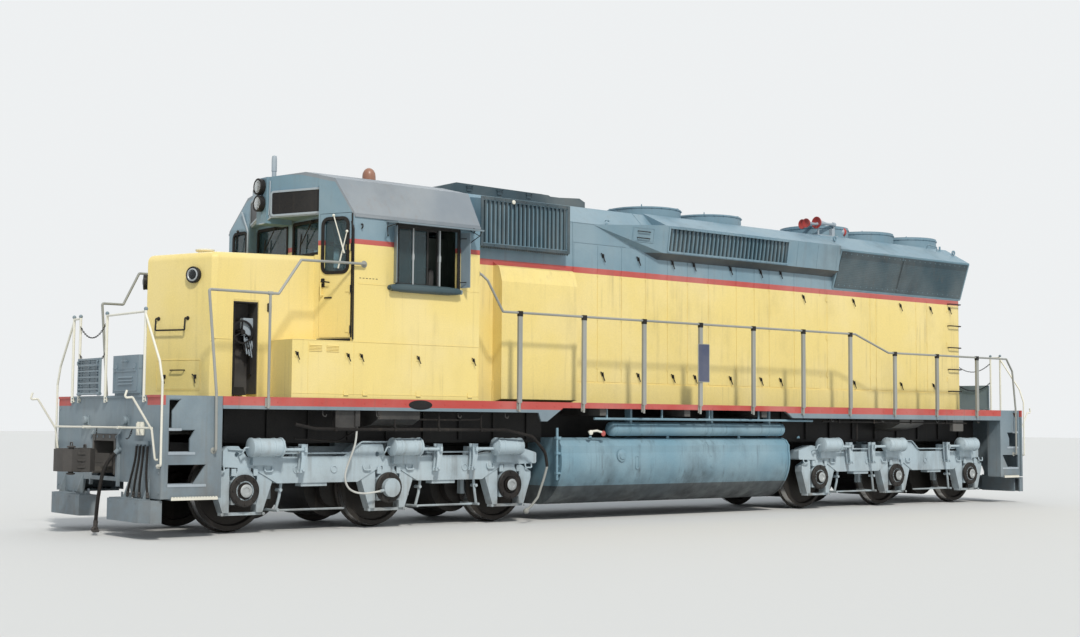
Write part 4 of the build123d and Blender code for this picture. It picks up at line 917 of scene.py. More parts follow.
def door_hardware():
    """Hinges, the latch and the dark sill of the front door, and the hinges of the rear one."""
    mesh = bmesh.new()
    for z in (3.6, 3.06, 2.54):
        face = face_at(slant_place(-1.448, z), SLANT)
        panel_on(mesh, face, corners_of((-0.06, 0.004), (-0.035, 0.035)), 0, 0.007)
        rod(mesh, face(0.01, -0.05, 0.008), face(0.01, 0.05, 0.008), 0.011, 10)
    face = face_at(slant_place(-1.075, 3.15), SLANT)
    leaf_on(mesh, face, 0.05, 0.115, 0.012, 0, 0.014)
    turned(mesh, face(0, 0.012, 0.014), out_of(face), [(0.016, 0), (0.016, 0.01), (0.007, 0.016),
            (0.007, 0.035)], 12)
    tube(mesh, [face(0, 0.012, 0.04), face(0.055, 0.01, 0.046), face(0.125, 0.0, 0.04)], 0.009, 8, 0.01)
    leaf_on(mesh, face_at(slant_place(-1.15, 2.955), SLANT), 0.115, 0.018, 0.008, 0, 0.01)
    piece("front_door_hardware", mesh, black_paint_and_shade, 0.0015, body="door_front")
    mesh = bmesh.new()
    face = face_at(slant_place(-1.24, 2.412), SLANT)
    leaf_on(mesh, face, 0.5, 0.03, 0.004, 0, 0.03)
    face = face_at(slant_place(-1.472, 3.24), SLANT)
    leaf_on(mesh, face, 0.02, 1.6, 0.004, 0, 0.007)
    piece("front_door_sill", mesh, rubber_black, 0.0015)
    mesh = bmesh.new()
    for z in (3.6, 3.06, 2.54):
        leaf_on(mesh, face_at((CAB_REAR, 1.425, z), RIGHT), 0.06, 0.08, 0.008, 0, 0.006)
        pin(mesh, (-3.972, 1.452, z), (0, 0, 0.055), 0.01, 10)
    piece("rear_door_hinges", mesh, black_paint_and_shade, 0.0015, body="door_rear")


def cab_lining():
    """The dark panels that line the walls of the cab, and dark panels in the hand brake's alcove that are
    painted shade.
    """
    mesh = bmesh.new()
    for x0, x1, z0, z1 in ((-5.9, -5.38, 2.44, 3.99), (-4.29, -4.045, 2.44, 3.99), (-5.38, -4.29, 2.44, 3.1)):
        block(mesh, (x0, x1), (-1.438, -1.428), (z0, z1))
    both_sides(mesh)
    block(mesh, (-4.052, -4.042), (-1.43, 0.86), (2.44, 3.99))
    block(mesh, (-5.95, -4.05), (-1.42, 1.42), (3.992, 4.0))
    piece("cab_lining", mesh, interior_paint, 0.002)
    # Dark panels at the back, side and top of the hand brake's alcove: painted shade in the recess.
    mesh = bmesh.new()
    block(mesh, (-7.392, -7.056), (-0.7, -0.6915), (1.7, 2.86))
    block(mesh, (-7.062, -7.056), (-0.944, -0.664), (1.7, 2.86))
    block(mesh, (-7.392, -7.056), (-0.944, -0.664), (2.846, 2.86))
    piece("alcove_painted_shade", mesh, rust_iron_and_shade, 0.001)


for draw in (cab_lining, door_panes, window_rubbers, side_sashes, wipers, door_hardware):
    draw()


# Brow, headlights and number boards

def brow_trim():
    """The pale lip under the brow, the strip down beside the right windshield, and the boards' rims."""
    mesh = bmesh.new()
    for side, far in ((-1, 0.978), (1, 0.938)):
        inner, outer = brow_place(side * 0.135, 4.078), brow_place(side * far, 4.078)
        middle = (inner + outer) / 2
        leaf_on(mesh, brow_face(side, middle), (outer - inner).length, 0.04, 0.006, -0.004, 0.012)
        tube(mesh, [brow_place(side * 0.175, 4.075, 0.008), brow_place(side * 0.135, 4.045, 0.012),
                brow_place(side * 0.06, 3.995, 0.008), brow_place(0, 3.988, 0.004)], 0.012, 8, 0.03)
        tube(mesh, [brow_place(side * 0.135, 4.1, 0.01), brow_place(side * 0.145, 4.25, 0.01),
                brow_place(side * 0.15, 4.56, 0.01)], 0.01, 8, 0.03)
    tube(mesh, [(-6.196, 0.948, 3.56), (-6.196, 0.948, 4.0), (-6.196, 0.99, 4.075), (-6.15, 1.215, 4.3)],
            0.013, 8, 0.05)
    for side in (-1, 1):
        board = brow_face(side, brow_place(side * 0.5625, 4.246, 0.022))
        ring_on(mesh, board, 0.846, 0.345, 0.055, 0.028, -0.03, 0.008)
    piece("brow_trim", mesh, pale_trim, 0.002)


def headlights():
    for n, z in enumerate((4.262, 4.488)):
        mesh = bmesh.new()
        turned(mesh, (-6.558, 0, z), FORE, [(0.108, -0.004), (0.112, 0.002), (0.112, 0.02), (0.104, 0.026),
                (0.084, 0.022), (0.084, 0.004)], 40)
        for across, rise in circle(4, 0.097, pi / 4):
            bolt(mesh, (-6.58, across, z + rise), FORE, 0.007, 0.005)
        lip = [(-6.58, 0.1 * cos(a), z + 0.1 * sin(a)) for a in (radians(200 + 14 * k) for k in range(11))]
        tube(mesh, lip, 0.012, 8, 0)
        piece(f"headlight_ring_{n + 1}", mesh, black_paint_and_shade, 0.0015)
        turned_piece(f"headlight_reflector_{n + 1}", (-6.56, 0, z), FORE, [(0.0, 0.001), (0.03, 0.002),
                (0.06, 0.008), (0.084, 0.016)], 40, chrome)
        turned_piece(f"headlight_lens_{n + 1}", (-6.56, 0, z), FORE, [(0.084, 0.014), (0.083, 0.019),
                (0.06, 0.025), (0.03, 0.028), (0.0, 0.029), (0.0, 0.023), (0.06, 0.018), (0.084, 0.014)], 40,
                lens_glass)
    mesh = bmesh.new()
    glass = bmesh.new()
    for z in (4.2, 4.4):
        turned(mesh, (7.66, 0, z), AFT, [(0.09, -0.004), (0.094, 0.002), (0.094, 0.012), (0.07, 0.01),
                (0.07, 0.002)], 32)
        turned(glass, (7.66, 0, z), AFT, [(0.07, 0.002), (0.066, 0.008), (0.036, 0.014), (0.0, 0.016)], 32)
    for side in (-1, 1):
        ring_on(mesh, face_at((7.588, side * 0.63, 4.26), RIGHT), 0.54, 0.32, 0.05, 0.024, -0.028, 0.006)
    piece("rear_headlight_rings", mesh, black_paint_and_shade, 0.0015)
    piece("rear_headlight_lenses", glass, chrome, 0)


def class_lights():
    """A dark ring, a pale ring and a dark lens each side of the nose's ridge."""
    for side, hand in SIDES:
        slope = Vector((0.42, side * 0.91, 0))
        out = slope.cross(Vector((0, 0, -side))).normalized()
        centre = Vector((-8.11, 0, 3.175)) + slope * 0.745 + out * 0.035
        for part, profile, slot, finish in (
            ("rim", [(0.1, -0.004), (0.104, 0.0), (0.104, 0.016), (0.096, 0.022), (0.084, 0.016)],
             "black_steel", black_paint_and_shade),
            ("bezel", [(0.086, 0.004), (0.08, 0.022), (0.066, 0.026), (0.058, 0.016)],
             "fitting_metal", sash_metal),
            ("lens", [(0.06, 0.006), (0.052, 0.024), (0.03, 0.032), (0.0, 0.034)],
             "window_glass", lens_dark),
        ):
            turned_piece(f"class_light_{part}_{hand}", centre, out, profile, 32, finish)


brow_trim()
headlights()
class_lights()


# Long hood

DOOR_EDGES = (-1.843, -1.374, -0.893, -0.399, 0.065, 0.497, 0.961, 1.598, 2.018, 2.375, 2.984, 3.637)
REAR_DOOR_EDGES = (3.817, 4.953, 5.117, 6.239, 6.558, 7.149)
LOW_LATCHES = (-1.27, -0.545, 0.185, 0.665, 1.462, 2.175, 2.645, 4.515, 5.8, 6.73)
HIGH_LATCHES = ((-1.27, 3.871), (-0.548, 3.872), (0.172, 3.867), (0.64, 3.865), (1.464, 3.861), (2.17, 3.86),
        (2.649, 3.875), (3.216, 3.508), (4.508, 3.512), (5.798, 3.5), (6.663, 3.49), (7.229, 3.514))
SKIRT = 1.965


def hood_doors():
    """The doors along the hood as thin leaves with a gap between them, and the skirt's edge below."""
    mesh = bmesh.new()
    for edges, top in ((DOOR_EDGES, 4.03), (REAR_DOOR_EDGES, 3.63)):
        for low, high in zip(edges, edges[1:]):
            face = face_at(((low + high) / 2, -HOOD_SIDE, (SKIRT + 0.012 + top) / 2), AFT)
            panel_on(mesh, face, soft_outline(high - low - 0.012, top - SKIRT - 0.024, 0.018, 3), -0.002,
                    0.006)
    block(mesh, (-1.9, 7.47), (-0.955, -0.948), (SKIRT - 0.016, SKIRT - 0.006))
    both_sides(mesh)
    piece("hood_doors", mesh, hood_paint, 0.0015)


def latch_on(mesh, face, scale=1.0):
    """A bar latch: a pivot plate, the bar across it and its bent grip."""
    leaf_on(mesh, face, 0.034 * scale, 0.05 * scale, 0.006, 0, 0.01)
    turned(mesh, face(0, 0, 0.01), out_of(face), [(0.013 * scale, 0), (0.011 * scale, 0.012), (0.0, 0.014)],
            10)
    tube(mesh, [face(-0.04 * scale, 0.03 * scale, 0.016), face(0.0, 0.0, 0.022),
            face(0.004, -0.04 * scale, 0.026), face(0.022 * scale, -0.085 * scale, 0.03)], 0.0075 * scale, 6,
            0.01)


def hood_latches():
    mesh = bmesh.new()
    places = [(x, 2.098) for x in LOW_LATCHES] + list(HIGH_LATCHES)
    for x, z in places:
        latch_on(mesh, face_at((x, -0.956, z), AFT), 1.15)
    both_sides(mesh)
    piece("hood_latches", mesh, black_paint_and_shade, 0)
    mesh = bmesh.new()
    for edges, heights in ((DOOR_EDGES, (2.22, 2.95, 3.6)), (REAR_DOOR_EDGES, (2.22, 2.85, 3.5))):
        for x in edges:
            for z in heights:
                pin(mesh, (x, -0.958, z), (0, 0, 0.045), 0.009, 8)
                block(mesh, about(x, 0.026), (-0.9585, -HOOD_SIDE), about(z, 0.035))
    both_sides(mesh)
    piece("hood_hinges", mesh, hood_paint, 0.001)


def hood_seams():
    """Welded joints of the upper hood and the lifting rings under the roof's eaves."""
    mesh = bmesh.new()
    for low, high, z in ((-1.85, -0.8, 4.04), (-3.98, 7.5, 4.335)):
        block(mesh, (low, high), (-0.956, -0.948), about(z, 0.004))
    for x in (-1.86, -0.399):
        block(mesh, about(x, 0.004), (-0.956, -0.948), (SKIRT, 4.33))
    both_sides(mesh)
    piece("hood_seams", mesh, hood_paint, 0.001)
    mesh = bmesh.new()
    for x, z in ((7.825 - 0.55, 4.4), (6.0, 4.4), (4.2, 4.4), (-1.2, 4.4)):
        for side in (-1, 1):
            turned(mesh, (x, side * 0.953, z - 0.05), (0, side, 0), [(0.026, 0), (0.026, 0.012),
                    (0.012, 0.014)], 12)
            staple(mesh, (x - 0.03, side * 0.955, z), (x + 0.03, side * 0.955, z), (0, side * 0.03, 0.01),
                    0.008, 8, 0.01)
    piece("lifting_rings", mesh, roof_paint, 0)


def filter_frames():
    """The frame around each filter box's fins, its bolts and teeth, and the small round plug."""
    (x0, x1), (z0, z1), y = (-3.67, -2.05), (3.83, 4.53), -1.104
    mesh = bmesh.new()
    ring_on(mesh, face_at(((x0 + x1) / 2, y, (z0 + z1) / 2), AFT), x1 - x0 + 0.006, z1 - z0 + 0.006, 0.012,
            0.045, -0.004, 0.008)
    for n in range(9):
        for z in (z0 + 0.02, z1 - 0.02):
            bolt(mesh, (x0 + 0.05 + n * (x1 - x0 - 0.1) / 8, y - 0.008, z), LEFT, 0.01, 0.006)
    for n in range(40):
        x = x0 + 0.03 + n * 0.04
        prism(mesh, [(y - 0.008, z0 - 0.004), (y + 0.02, z0 - 0.004), (y + 0.02, z0 - 0.03)], "X", x - 0.01,
                x + 0.01)
    both_sides(mesh)
    piece("filter_frames", mesh, hatch_paint_and_shade, 0.0015)
    turned_piece("filter_plug", (-3.1, y - 0.006, 4.49), LEFT, [(0.03, 0), (0.03, 0.012), (0.018, 0.018),
            (0.0, 0.018)], 16, white_paint)


hood_doors()
hood_latches()
hood_seams()
filter_frames()


# Nose and the boxes beside it

BOX_LATCHES = (-6.8, -6.057, -5.858, -4.976, -4.074)


def nose_face(share, z):
    """A face on the slanted left front of the nose, a share of the way from its ridge to its corner."""
    slope = Vector((0.42, -0.91, 0))
    return face_at(Vector((-8.11, 0, z)) + slope * share, slope)


def nose_fittings():
    """The nose's hatch, latches, grab handle and drain pipe, the brake gear and case, the sand cap."""
    mesh = bmesh.new()
    face = nose_face(0.52, 1.93)
    ring_on(mesh, face, 0.7, 0.39, 0.03, 0.012, -0.002, 0.005)
    leaf_on(mesh, face, 0.66, 0.35, 0.02, -0.002, 0.004)
    block(mesh, (-7.7, -7.41), (-0.955, -0.947), (2.38, 2.388))
    ring_on(mesh, face_at((-7.225, -HOOD_SIDE, 2.27), AFT), 0.39, 1.25, 0.02, 0.018, -0.002, 0.006)
    piece("nose_seams", mesh, nose_paint, 0.001)
    mesh = bmesh.new()
    staple(mesh, face(-0.1, 0.06), face(0.1, 0.06), out_of(face) * 0.045, 0.008, 8, 0.012)
    for a in (0.27, -0.21):
        latch_on(mesh, face_at(face(a, -0.02, 0.004), (face(1, 0) - face(0, 0))))
    grab = nose_face(0.42, 2.64)
    tube(mesh, [grab(-0.23, 0.0, 0.0), grab(-0.23, 0.0, 0.055), grab(-0.23, -0.15, 0.06),
            grab(0.23, -0.15, 0.06), grab(0.23, 0.0, 0.055), grab(0.23, 0.0, 0.0)], 0.011, 8, 0.015)
    tube(mesh, [(-6.085, -1.115, 4.27), (-5.998, -1.35, 4.065), (-6.008, -1.512, 3.84), (-6.0, -1.512, 2.41)],
            0.011, 8, 0.05)
    turned(mesh, (-7.12, -0.8, 2.3), LEFT, [(0.07, 0), (0.07, 0.03), (0.03, 0.04), (0.0, 0.04)], 14)
    block(mesh, (-7.085, -7.045), (-0.83, -0.76), (1.95, 2.18))
    block(mesh, (-7.392, -7.378), (-0.958, -0.9), (1.7, 2.84))
    for a in (-0.23, 0.23):
        turned(mesh, grab(a, 0, 0), out_of(grab), [(0.026, 0), (0.026, 0.006), (0.012, 0.01)], 12)
    tube(mesh, [(-6.91, -0.955, 2.76), (-6.91, -0.985, 2.765), (-6.91, -0.985, 2.835), (-6.91, -0.955, 2.84)],
            0.01, 8, 0.012)
    leaf_on(mesh, face_at((-6.895, -HOOD_SIDE, 2.8), AFT), 0.06, 0.11, 0.012, 0, 0.01)
    piece("nose_fittings", mesh, black_paint_and_shade, 0)
    mesh = bmesh.new()
    block(mesh, (-7.2, -7.06), (-0.84, -0.75), (2.44, 2.66))
    for n in range(4):
        turned(mesh, (-7.18 + n * 0.035, -0.83, 2.44 - n * 0.02), (0.2, 0, -1), [(0.011, 0), (0.014, 0.05),
                (0.01, 0.16), (0.012, 0.24)], 8)
    piece("brake_case", mesh, pale_trim, 0.006)
    mesh = bmesh.new()
    turned(mesh, (-7.45, -0.25, 3.53), UP, [(0.086, -0.02), (0.09, 0.0), (0.12, 0.002), (0.122, 0.02),
            (0.108, 0.026), (0.1, 0.022), (0.04, 0.024), (0.036, 0.032), (0.0, 0.033)], 32)
    tube(mesh, [(-7.365, -0.25, 3.548), (-7.34, -0.25, 3.52), (-7.338, -0.25, 3.468)], 0.01, 8, 0.02)
    piece("sand_filler_cap", mesh, white_paint, 0.001)


def box_fittings():
    """On the boxes beside the nose: louvres, latches on pale plates, hinges, seams and a blank oval plate."""
    mesh = bmesh.new()
    for low, high in ((-6.629, -6.442), (-6.377, -6.194)):
        for n in range(5):
            z = 2.25 + n * 0.018
            prism(mesh, [(-CAB_SIDE, z), (-1.511, z - 0.004), (-CAB_SIDE, z + 0.01)], "X", low, high)
    for x in (-6.64, -5.97, -5.08, -3.99):
        block(mesh, about(x, 0.003), (-1.504, -1.498), (1.7, 2.372))
    for x, out, z in (((-6.868, -3.984), -1.504, (1.712, 1.718)), ((-5.925, -3.987), -1.504, (3.128, 3.134)),
            ((-6.868, -3.984), -1.505, (2.381, 2.389))):
        block(mesh, x, (out, -1.498), z)
    for x in (-6.085, -5.8, -4.971, -4.131):
        leaf_on(mesh, face_at((x, -CAB_SIDE, 1.732), AFT), 0.07, 0.06, 0.008, 0, 0.007)
        rod(mesh, (x - 0.035, -1.51, 1.704), (x + 0.035, -1.51, 1.704), 0.008, 8)
    for x in BOX_LATCHES:
        leaf_on(mesh, face_at((x, -CAB_SIDE, 2.205), AFT), 0.075, 0.085, 0.012, 0, 0.005)
    both_sides(mesh)
    piece("box_seams", mesh, cab_paint, 0.001)
    mesh = bmesh.new()
    for x in BOX_LATCHES:
        latch_on(mesh, face_at((x, -1.505, 2.205), AFT), 0.9)
    for n in range(6):
        block(mesh, (-5.906 + n * 0.05, -5.88 + n * 0.05), (-1.502, -1.499), (3.201, 3.209))
    for x, z in ((-5.889, 3.871), (-4.1, 3.957)):
        tube(mesh, [(x, -1.499, z + 0.03), (x, -1.535, z + 0.028), (x, -1.54, z - 0.012),
                (x, -1.512, z - 0.026)], 0.009, 8, 0.015)
    both_sides(mesh)
    piece("box_latches", mesh, black_paint_and_shade, 0)
    mesh = bmesh.new()
    for side in (-1, 1):
        face = face_at((-4.946, side * 1.524, 1.59), (-side, 0, 0))
        for a, b, low, high in ((0.186, 0.062, -0.002, 0.005), (0.16, 0.046, 0.004, 0.008)):
            panel_on(mesh, face, [(a * u, b * w) for u, w in circle(32)], low, high)
    piece("blank_oval_plate", mesh, black_paint_and_shade, 0.0015)


def awning_brackets():
    """The wires that hold the sunshades out and the struts of the wind deflectors."""
    mesh = bmesh.new()
    for x, lean in ((-5.48, -0.1), (-4.15, 0.06)):
        tube(mesh, [(x, -1.502, 3.79), (x + lean, -1.64, 3.88), (x, -1.77, 3.93)], 0.006, 6, 0.03)
        rod(mesh, (x + lean, -1.64, 3.88), (x, -1.504, 3.96), 0.005, 6)
        ball(mesh, (x, -1.506, 3.79), 0.012, 8)
    for x, reach in ((-5.39, -0.04), (-4.29, 0.04)):
        for z in (3.24, 3.83):
            tube(mesh, [(x - reach, -1.502, z), (x - reach, -1.56, z), (x + reach * 0.3, -1.6, z)], 0.006, 6,
                    0.02)
    both_sides(mesh)
    piece("awning_brackets", mesh, black_paint_and_shade, 0)


nose_fittings()
box_fittings()
awning_brackets()


# Underframe and tank

RESERVOIR_LINE = (-1.24, 1.29)


def tank_fittings():
    """The tank's bolts, fillers, gauges and straps, and the valve beside it."""
    mesh = bmesh.new()
    for side in (-1, 1):
        for way, z in ((-1, 0.95), (-1, 0.75), (-1, 0.58), (1, 0.95), (1, 0.75), (1, 0.58)):
            bolt(mesh, (way * 2.4, side * 1.3, z), (way, 0, 0), 0.018, 0.014)
        turned(mesh, (-1.25, side * 1.362, 0.9), (0, side, 0), [(0.072, 0), (0.09, 0.003), (0.09, 0.02),
                (0.06, 0.026), (0.052, 0.04), (0.02, 0.042), (0.0, 0.042)], 24)
        ring_on(mesh, face_at((-0.93, side * 1.352, 0.8), (-side, 0, 0)), 0.075, 0.2, 0.03, 0.016, -0.01,
                0.016)
        block(mesh, (0.58, 0.66), (side * 1.345, side * 1.356), (0.7, 0.9))
        for z in (0.72, 0.88):
            bolt(mesh, (0.62, side * 1.356, z), (0, side, 0), 0.014, 0.01)
    piece("tank_fittings", mesh, tank_paint, 0.002)
    mesh = bmesh.new()
    tube(mesh, [(-1.905, -1.385, 1.245), (-1.76, -1.4, 1.262), (-1.64, -1.395, 1.235)], 0.016, 8, 0.04)
    turned(mesh, (-1.88, -1.395, 1.235), LEFT, [(0.036, 0), (0.036, 0.018), (0.02, 0.026), (0.0, 0.028)], 16)
    piece("valve_white", mesh, white_paint, 0)
    turned_piece("valve_red", (-1.64, -1.395, 1.222), LEFT, [(0.034, 0), (0.04, 0.006), (0.04, 0.014),
            (0.014, 0.02), (0.0, 0.02)], 16, horn_red)


def side_pipes():
    """Conduits with their clamps, dark blocks above the trucks and the tank that are painted shade under the
    deck, the drain pipe and the riser.
    """
    mesh = bmesh.new()
    tube(mesh, [(-6.78, -1.455, 1.33), (-6.5, -1.455, 1.275), (-5.98, -1.455, 1.268), (-3.48, -1.455, 1.268),
            (-2.99, -1.44, 1.18), (-2.74, -1.42, 0.96), (-2.7, -1.415, 0.76)], 0.022, 10, 0.16)
    tube(mesh, [(-6.7, -1.3, 1.15), (-6.06, -1.3, 1.118), (-5.7, -1.3, 1.3)], 0.011, 8, 0.08)
    tube(mesh, [(-4.9, -1.44, 1.4), (-4.5, -1.44, 1.396), (-3.92, -1.44, 1.4), (-3.86, -1.44, 1.5)], 0.013, 8,
            0.06)
    tube(mesh, [(4.034, -1.4, 1.48), (4.034, -1.4, 1.13)], 0.016, 8, 0)
    tube(mesh, [(3.1, -1.455, 1.43), (5.3, -1.455, 1.42), (7.0, -1.455, 1.42)], 0.016, 8, 0.06)
    for x in (-6.2, -5.3, -4.6, -3.9):
        block(mesh, about(x, 0.018), (-1.484, -1.432), (1.244, 1.296))
        block(mesh, about(x, 0.012), (-1.462, -1.45), (1.29, 1.48))
    for x in (3.5, 4.4, 5.4, 6.4):
        block(mesh, about(x, 0.015), (-1.48, -1.43), (1.402, 1.48))
    piece("side_conduits", mesh, rubber_black, 0.001)
    # Dark blocks above the trucks and the tank: painted shade under the deck.
    mesh = bmesh.new()
    for low, high in ((-7.79, -2.39), (2.39, 7.99)):
        block(mesh, (low, high), (-0.9, -0.64), (1.088, 1.612))
        for n in range(9):
            x = low + 0.3 + n * 0.6
            block(mesh, (x, x + 0.05), (-0.93, -0.9), (1.13, 1.61))
    block(mesh, (-2.45, 2.45), (-0.6, -0.42), (1.0, 1.6))
    both_sides(mesh)
    piece("underframe_painted_shade", mesh, black_paint_and_shade, 0.004)
    mesh = bmesh.new()
    tube(mesh, [(-2.7, -1.415, 0.765), (-2.745, -1.405, 0.6), (-2.85, -1.395, 0.33), (-2.96, -1.39, 0.215),
            (-3.04, -1.388, 0.165)], 0.017, 10, 0.06)
    ball(mesh, (-3.048, -1.388, 0.15), 0.042, 12)
    piece("drain_pipe", mesh, rail_paint, 0)
    mesh = bmesh.new()
    rod(mesh, (-2.45, -1.33, 0.56), (-2.45, -1.33, 1.3), 0.019, 10)
    for z in (0.66, 0.94, 1.16):
        block(mesh, (-2.48, -2.395), (-1.356, -1.304), about(z, 0.016))
    piece("tank_riser", mesh, tank_paint, 0.001)


def sill_bolts():
    """Rivets along the deck's edge and small hooks below the sill."""
    mesh = bmesh.new()
    for side in (-1, 1):
        for n in range(50):
            x = -7.7 + n * 0.315
            rod(mesh, (x, side * 1.5235, 1.6), (x, side * 1.5285, 1.6), 0.011, 6)
        for x in (-6.4, -5.6, -4.3, -3.5, 3.3, 4.6, 6.1, 7.3):
            tube(mesh, [(x, side * 1.47, 1.5), (x, side * 1.478, 1.44), (x + 0.04, side * 1.478, 1.425),
                    (x + 0.055, side * 1.478, 1.455)], 0.008, 6, 0.015)
    piece("sill_rivets", mesh, sill_paint, 0)


def reservoir_fittings():
    mesh = bmesh.new()
    for x in (-1.75, 2.75, -0.2, 1.35):
        rod(mesh, (x, -1.24, 1.185), (x, -1.24, 1.16), 0.02, 10)
        rod(mesh, (x - 0.03, -1.24, 1.156), (x + 0.03, -1.24, 1.156), 0.009, 6)
    for x in (-1.29, 2.24):
        strap(mesh, (x, *RESERVOIR_LINE), 0.105, 0.11, 0.012)
    for x in (-1.02, 0.68, 1.98):
        strap(mesh, (x, *RESERVOIR_LINE), 0.104, 0.109, 0.022)
    both_sides(mesh)
    piece("reservoir_bands", mesh, tank_paint, 0)


tank_fittings()
side_pipes()
sill_bolts()
reservoir_fittings()


# Trucks, drawn outwards along X from each pivot as the frames are

PIVOTS = {"front": (-5.244, -1), "rear": (5.424, 1)}
AXLES_OUT = (2.07, -0.051, -2.07)
WHEELSETS = (-7.314, -5.193, -3.174, 3.354, 5.373, 7.494)
AXLE_Z = 0.508
CYLINDER_LINE = (1.278, 1.04)
CYLINDERS = ((1.64, 2.045, -1), (-0.445, -0.035, -1), (-2.14, -1.74, 1))


def truck_piece(name, mesh, hand, finish, bevel=0.002):
    """Turns and moves a mesh drawn about a pivot to the truck at one end, both sides of it at once."""
    pivot, way = PIVOTS[hand]
    turn = Matrix.Identity(4) if way == 1 else Matrix.Rotation(pi, 4, "Z")
    bmesh.ops.transform(mesh, matrix=Matrix.Translation((pivot, 0, 0)) @ turn, verts=mesh.verts[:])
    piece(f"{name}_{hand}", mesh, finish, bevel, f"truck_{hand}")


def journal_covers(hand):
    """On each journal its bolted cover and the posts over it, and dark blocks over the motors that are
    painted shade under the body.
    """
    mesh = bmesh.new()
    posts = bmesh.new()
    for axle in AXLES_OUT:
        turned(mesh, (axle, 1.186, AXLE_Z), RIGHT, [(0.2, -0.03), (0.2, 0.0), (0.186, 0.01), (0.15, 0.012),
                (0.12, 0.004)], 32)
        for across, rise in circle(8, 0.168):
            bolt(mesh, (axle + across, 1.198, AXLE_Z + rise), RIGHT)
        for x in (-0.15, 0.15):
            block(posts, about(axle + x, 0.03), (1.15, 1.178), (0.69, 0.78))
    both_sides(mesh)
    both_sides(posts)
    truck_piece("journal_covers", mesh, hand, motor_black_and_shade)
    truck_piece("journal_posts", posts, hand, truck_paint)
    # Dark blocks over the motors: painted shade under the body.
    mesh = bmesh.new()
    for u in (1.57, 0.449, -1.57):
        block(mesh, about(u, 0.32), (-0.45, 0.45), (0.78, 1.05))
    block(mesh, (-2.25, 2.38), (-0.44, 0.44), (0.96, 1.1))
    truck_piece("motor_painted_shade", mesh, hand, motor_black_and_shade, 0.02)


def brake_rigging(hand):
    """Ends and pipes of the brake cylinders, links, levers, hanger loops, tie rods and springs."""
    mesh = bmesh.new()
    for inner, outer, way in CYLINDERS:
        y, z = CYLINDER_LINE
        cap = inner if way == 1 else outer
        turned(mesh, (cap, y, z), (-way, 0, 0), [(0.112, -0.01), (0.118, 0.0), (0.118, 0.016), (0.1, 0.024),
                (0.06, 0.034), (0.0, 0.038)], 28)
        end = outer if way == 1 else inner
        turned(mesh, (end, y, z), (way, 0, 0), [(0.124, -0.012), (0.124, 0.01), (0.096, 0.022), (0.05, 0.052),
                (0.034, 0.056)], 28)
        for across, rise in circle(8, 0.106):
            bolt(mesh, (end + way * 0.01, y + across, z + rise), (way, 0, 0), 0.011)
        for u in (inner + 0.1, outer - 0.1):
            strap(mesh, (u, y, z), 0.113, 0.118, 0.018)
        tube(mesh, [(cap - way * 0.036, y, z), (cap - way * 0.085, y, z), (cap - way * 0.11, y - 0.02,
                z - 0.075), (cap - way * 0.11, 1.165, z - 0.1)], 0.012, 8, 0.04)
        eye = end + way * 0.35
        for dy in (-0.036, 0.036):
            prism(mesh, [(eye - 0.045, 1.08), (eye + 0.045, 1.08), (eye + 0.038, 0.9), (eye + 0.06, 0.72),
                    (eye - 0.01, 0.72), (eye - 0.04, 0.9)], "Y", 1.232 + dy - 0.009, 1.232 + dy + 0.009)
        rod(mesh, (eye, 1.18, 1.01), (eye, 1.3, 1.01), 0.02, 12)
        rod(mesh, (eye + 0.022, 1.18, 0.755), (eye + 0.022, 1.3, 0.755), 0.018, 12)
    for u in (1.33, 0.78, -0.82, -1.3):
        turned(mesh, (u, 1.151, 0.76), RIGHT, [(0.052, 0), (0.052, 0.01), (0.036, 0.012), (0.034, 0.002)], 20)
    both_sides(mesh)
    truck_piece("brake_cylinder_ends", mesh, hand, truck_paint)
    mesh = bmesh.new()
    for axle in AXLES_OUT:
        side = 1 if axle == AXLES_OUT[2] else -1
        low = axle + side * 0.56
        tube(mesh, [(low, 1.06, 0.86), (low + side * 0.01, 1.075, 0.64), (low - side * 0.02, 1.075, 0.42),
                (low - side * 0.06, 1.06, 0.25)], 0.019, 8, 0.06)
        rod(mesh, (low - side * 0.02, 1.0, 0.505), (low - side * 0.02, 1.12, 0.505), 0.022, 10)
        rod(mesh, (low - side * 0.06, 0.7, 0.25), (low - side * 0.06, 1.12, 0.25), 0.018, 10)
        for way in (-1, 1):
            u = axle + way * 0.335
            staple(mesh, (u - 0.055, 1.158, 0.8), (u + 0.055, 1.158, 0.8), (0, 0.017, -0.06), 0.011, 8, 0.03)
            turned(mesh, (axle + way * 0.285, 1.138, 0.222), RIGHT, [(0.02, 0), (0.02, 0.016), (0.0, 0.018)],
                    6)
    for low, high in ((-CAB_SIDE, -0.6), (0.56, 1.52)):
        rod(mesh, (low, 1.05, 0.25), (high, 1.05, 0.25), 0.014, 8)
    tube(mesh, [(2.3, 1.165, 1.02), (1.56, 1.172, 0.965), (0.56, 1.172, 0.965), (0.38, 1.172, 1.105),
            (-0.02, 1.172, 1.105)], 0.011, 8, 0.07)
    tube(mesh, [(-0.64, 1.172, 0.968), (-1.48, 1.172, 0.968), (-1.66, 1.172, 1.01)], 0.011, 8, 0.07)
    both_sides(mesh)
    truck_piece("brake_rigging", mesh, hand, truck_paint, 0)
    mesh = bmesh.new()
    for u in (1.06, -0.96):
        coil = []
        for n in range(97):
            a = 2 * pi * n / 12
            coil.append((u + 0.062 * cos(a), 0.925 + 0.062 * sin(a), 0.625 + 0.262 * n / 96))
        tube(mesh, coil, 0.014, 6, 0)
    both_sides(mesh)
    truck_piece("springs", mesh, hand, truck_paint, 0)


for hand in ("front", "rear"):
    journal_covers(hand)
    brake_rigging(hand)


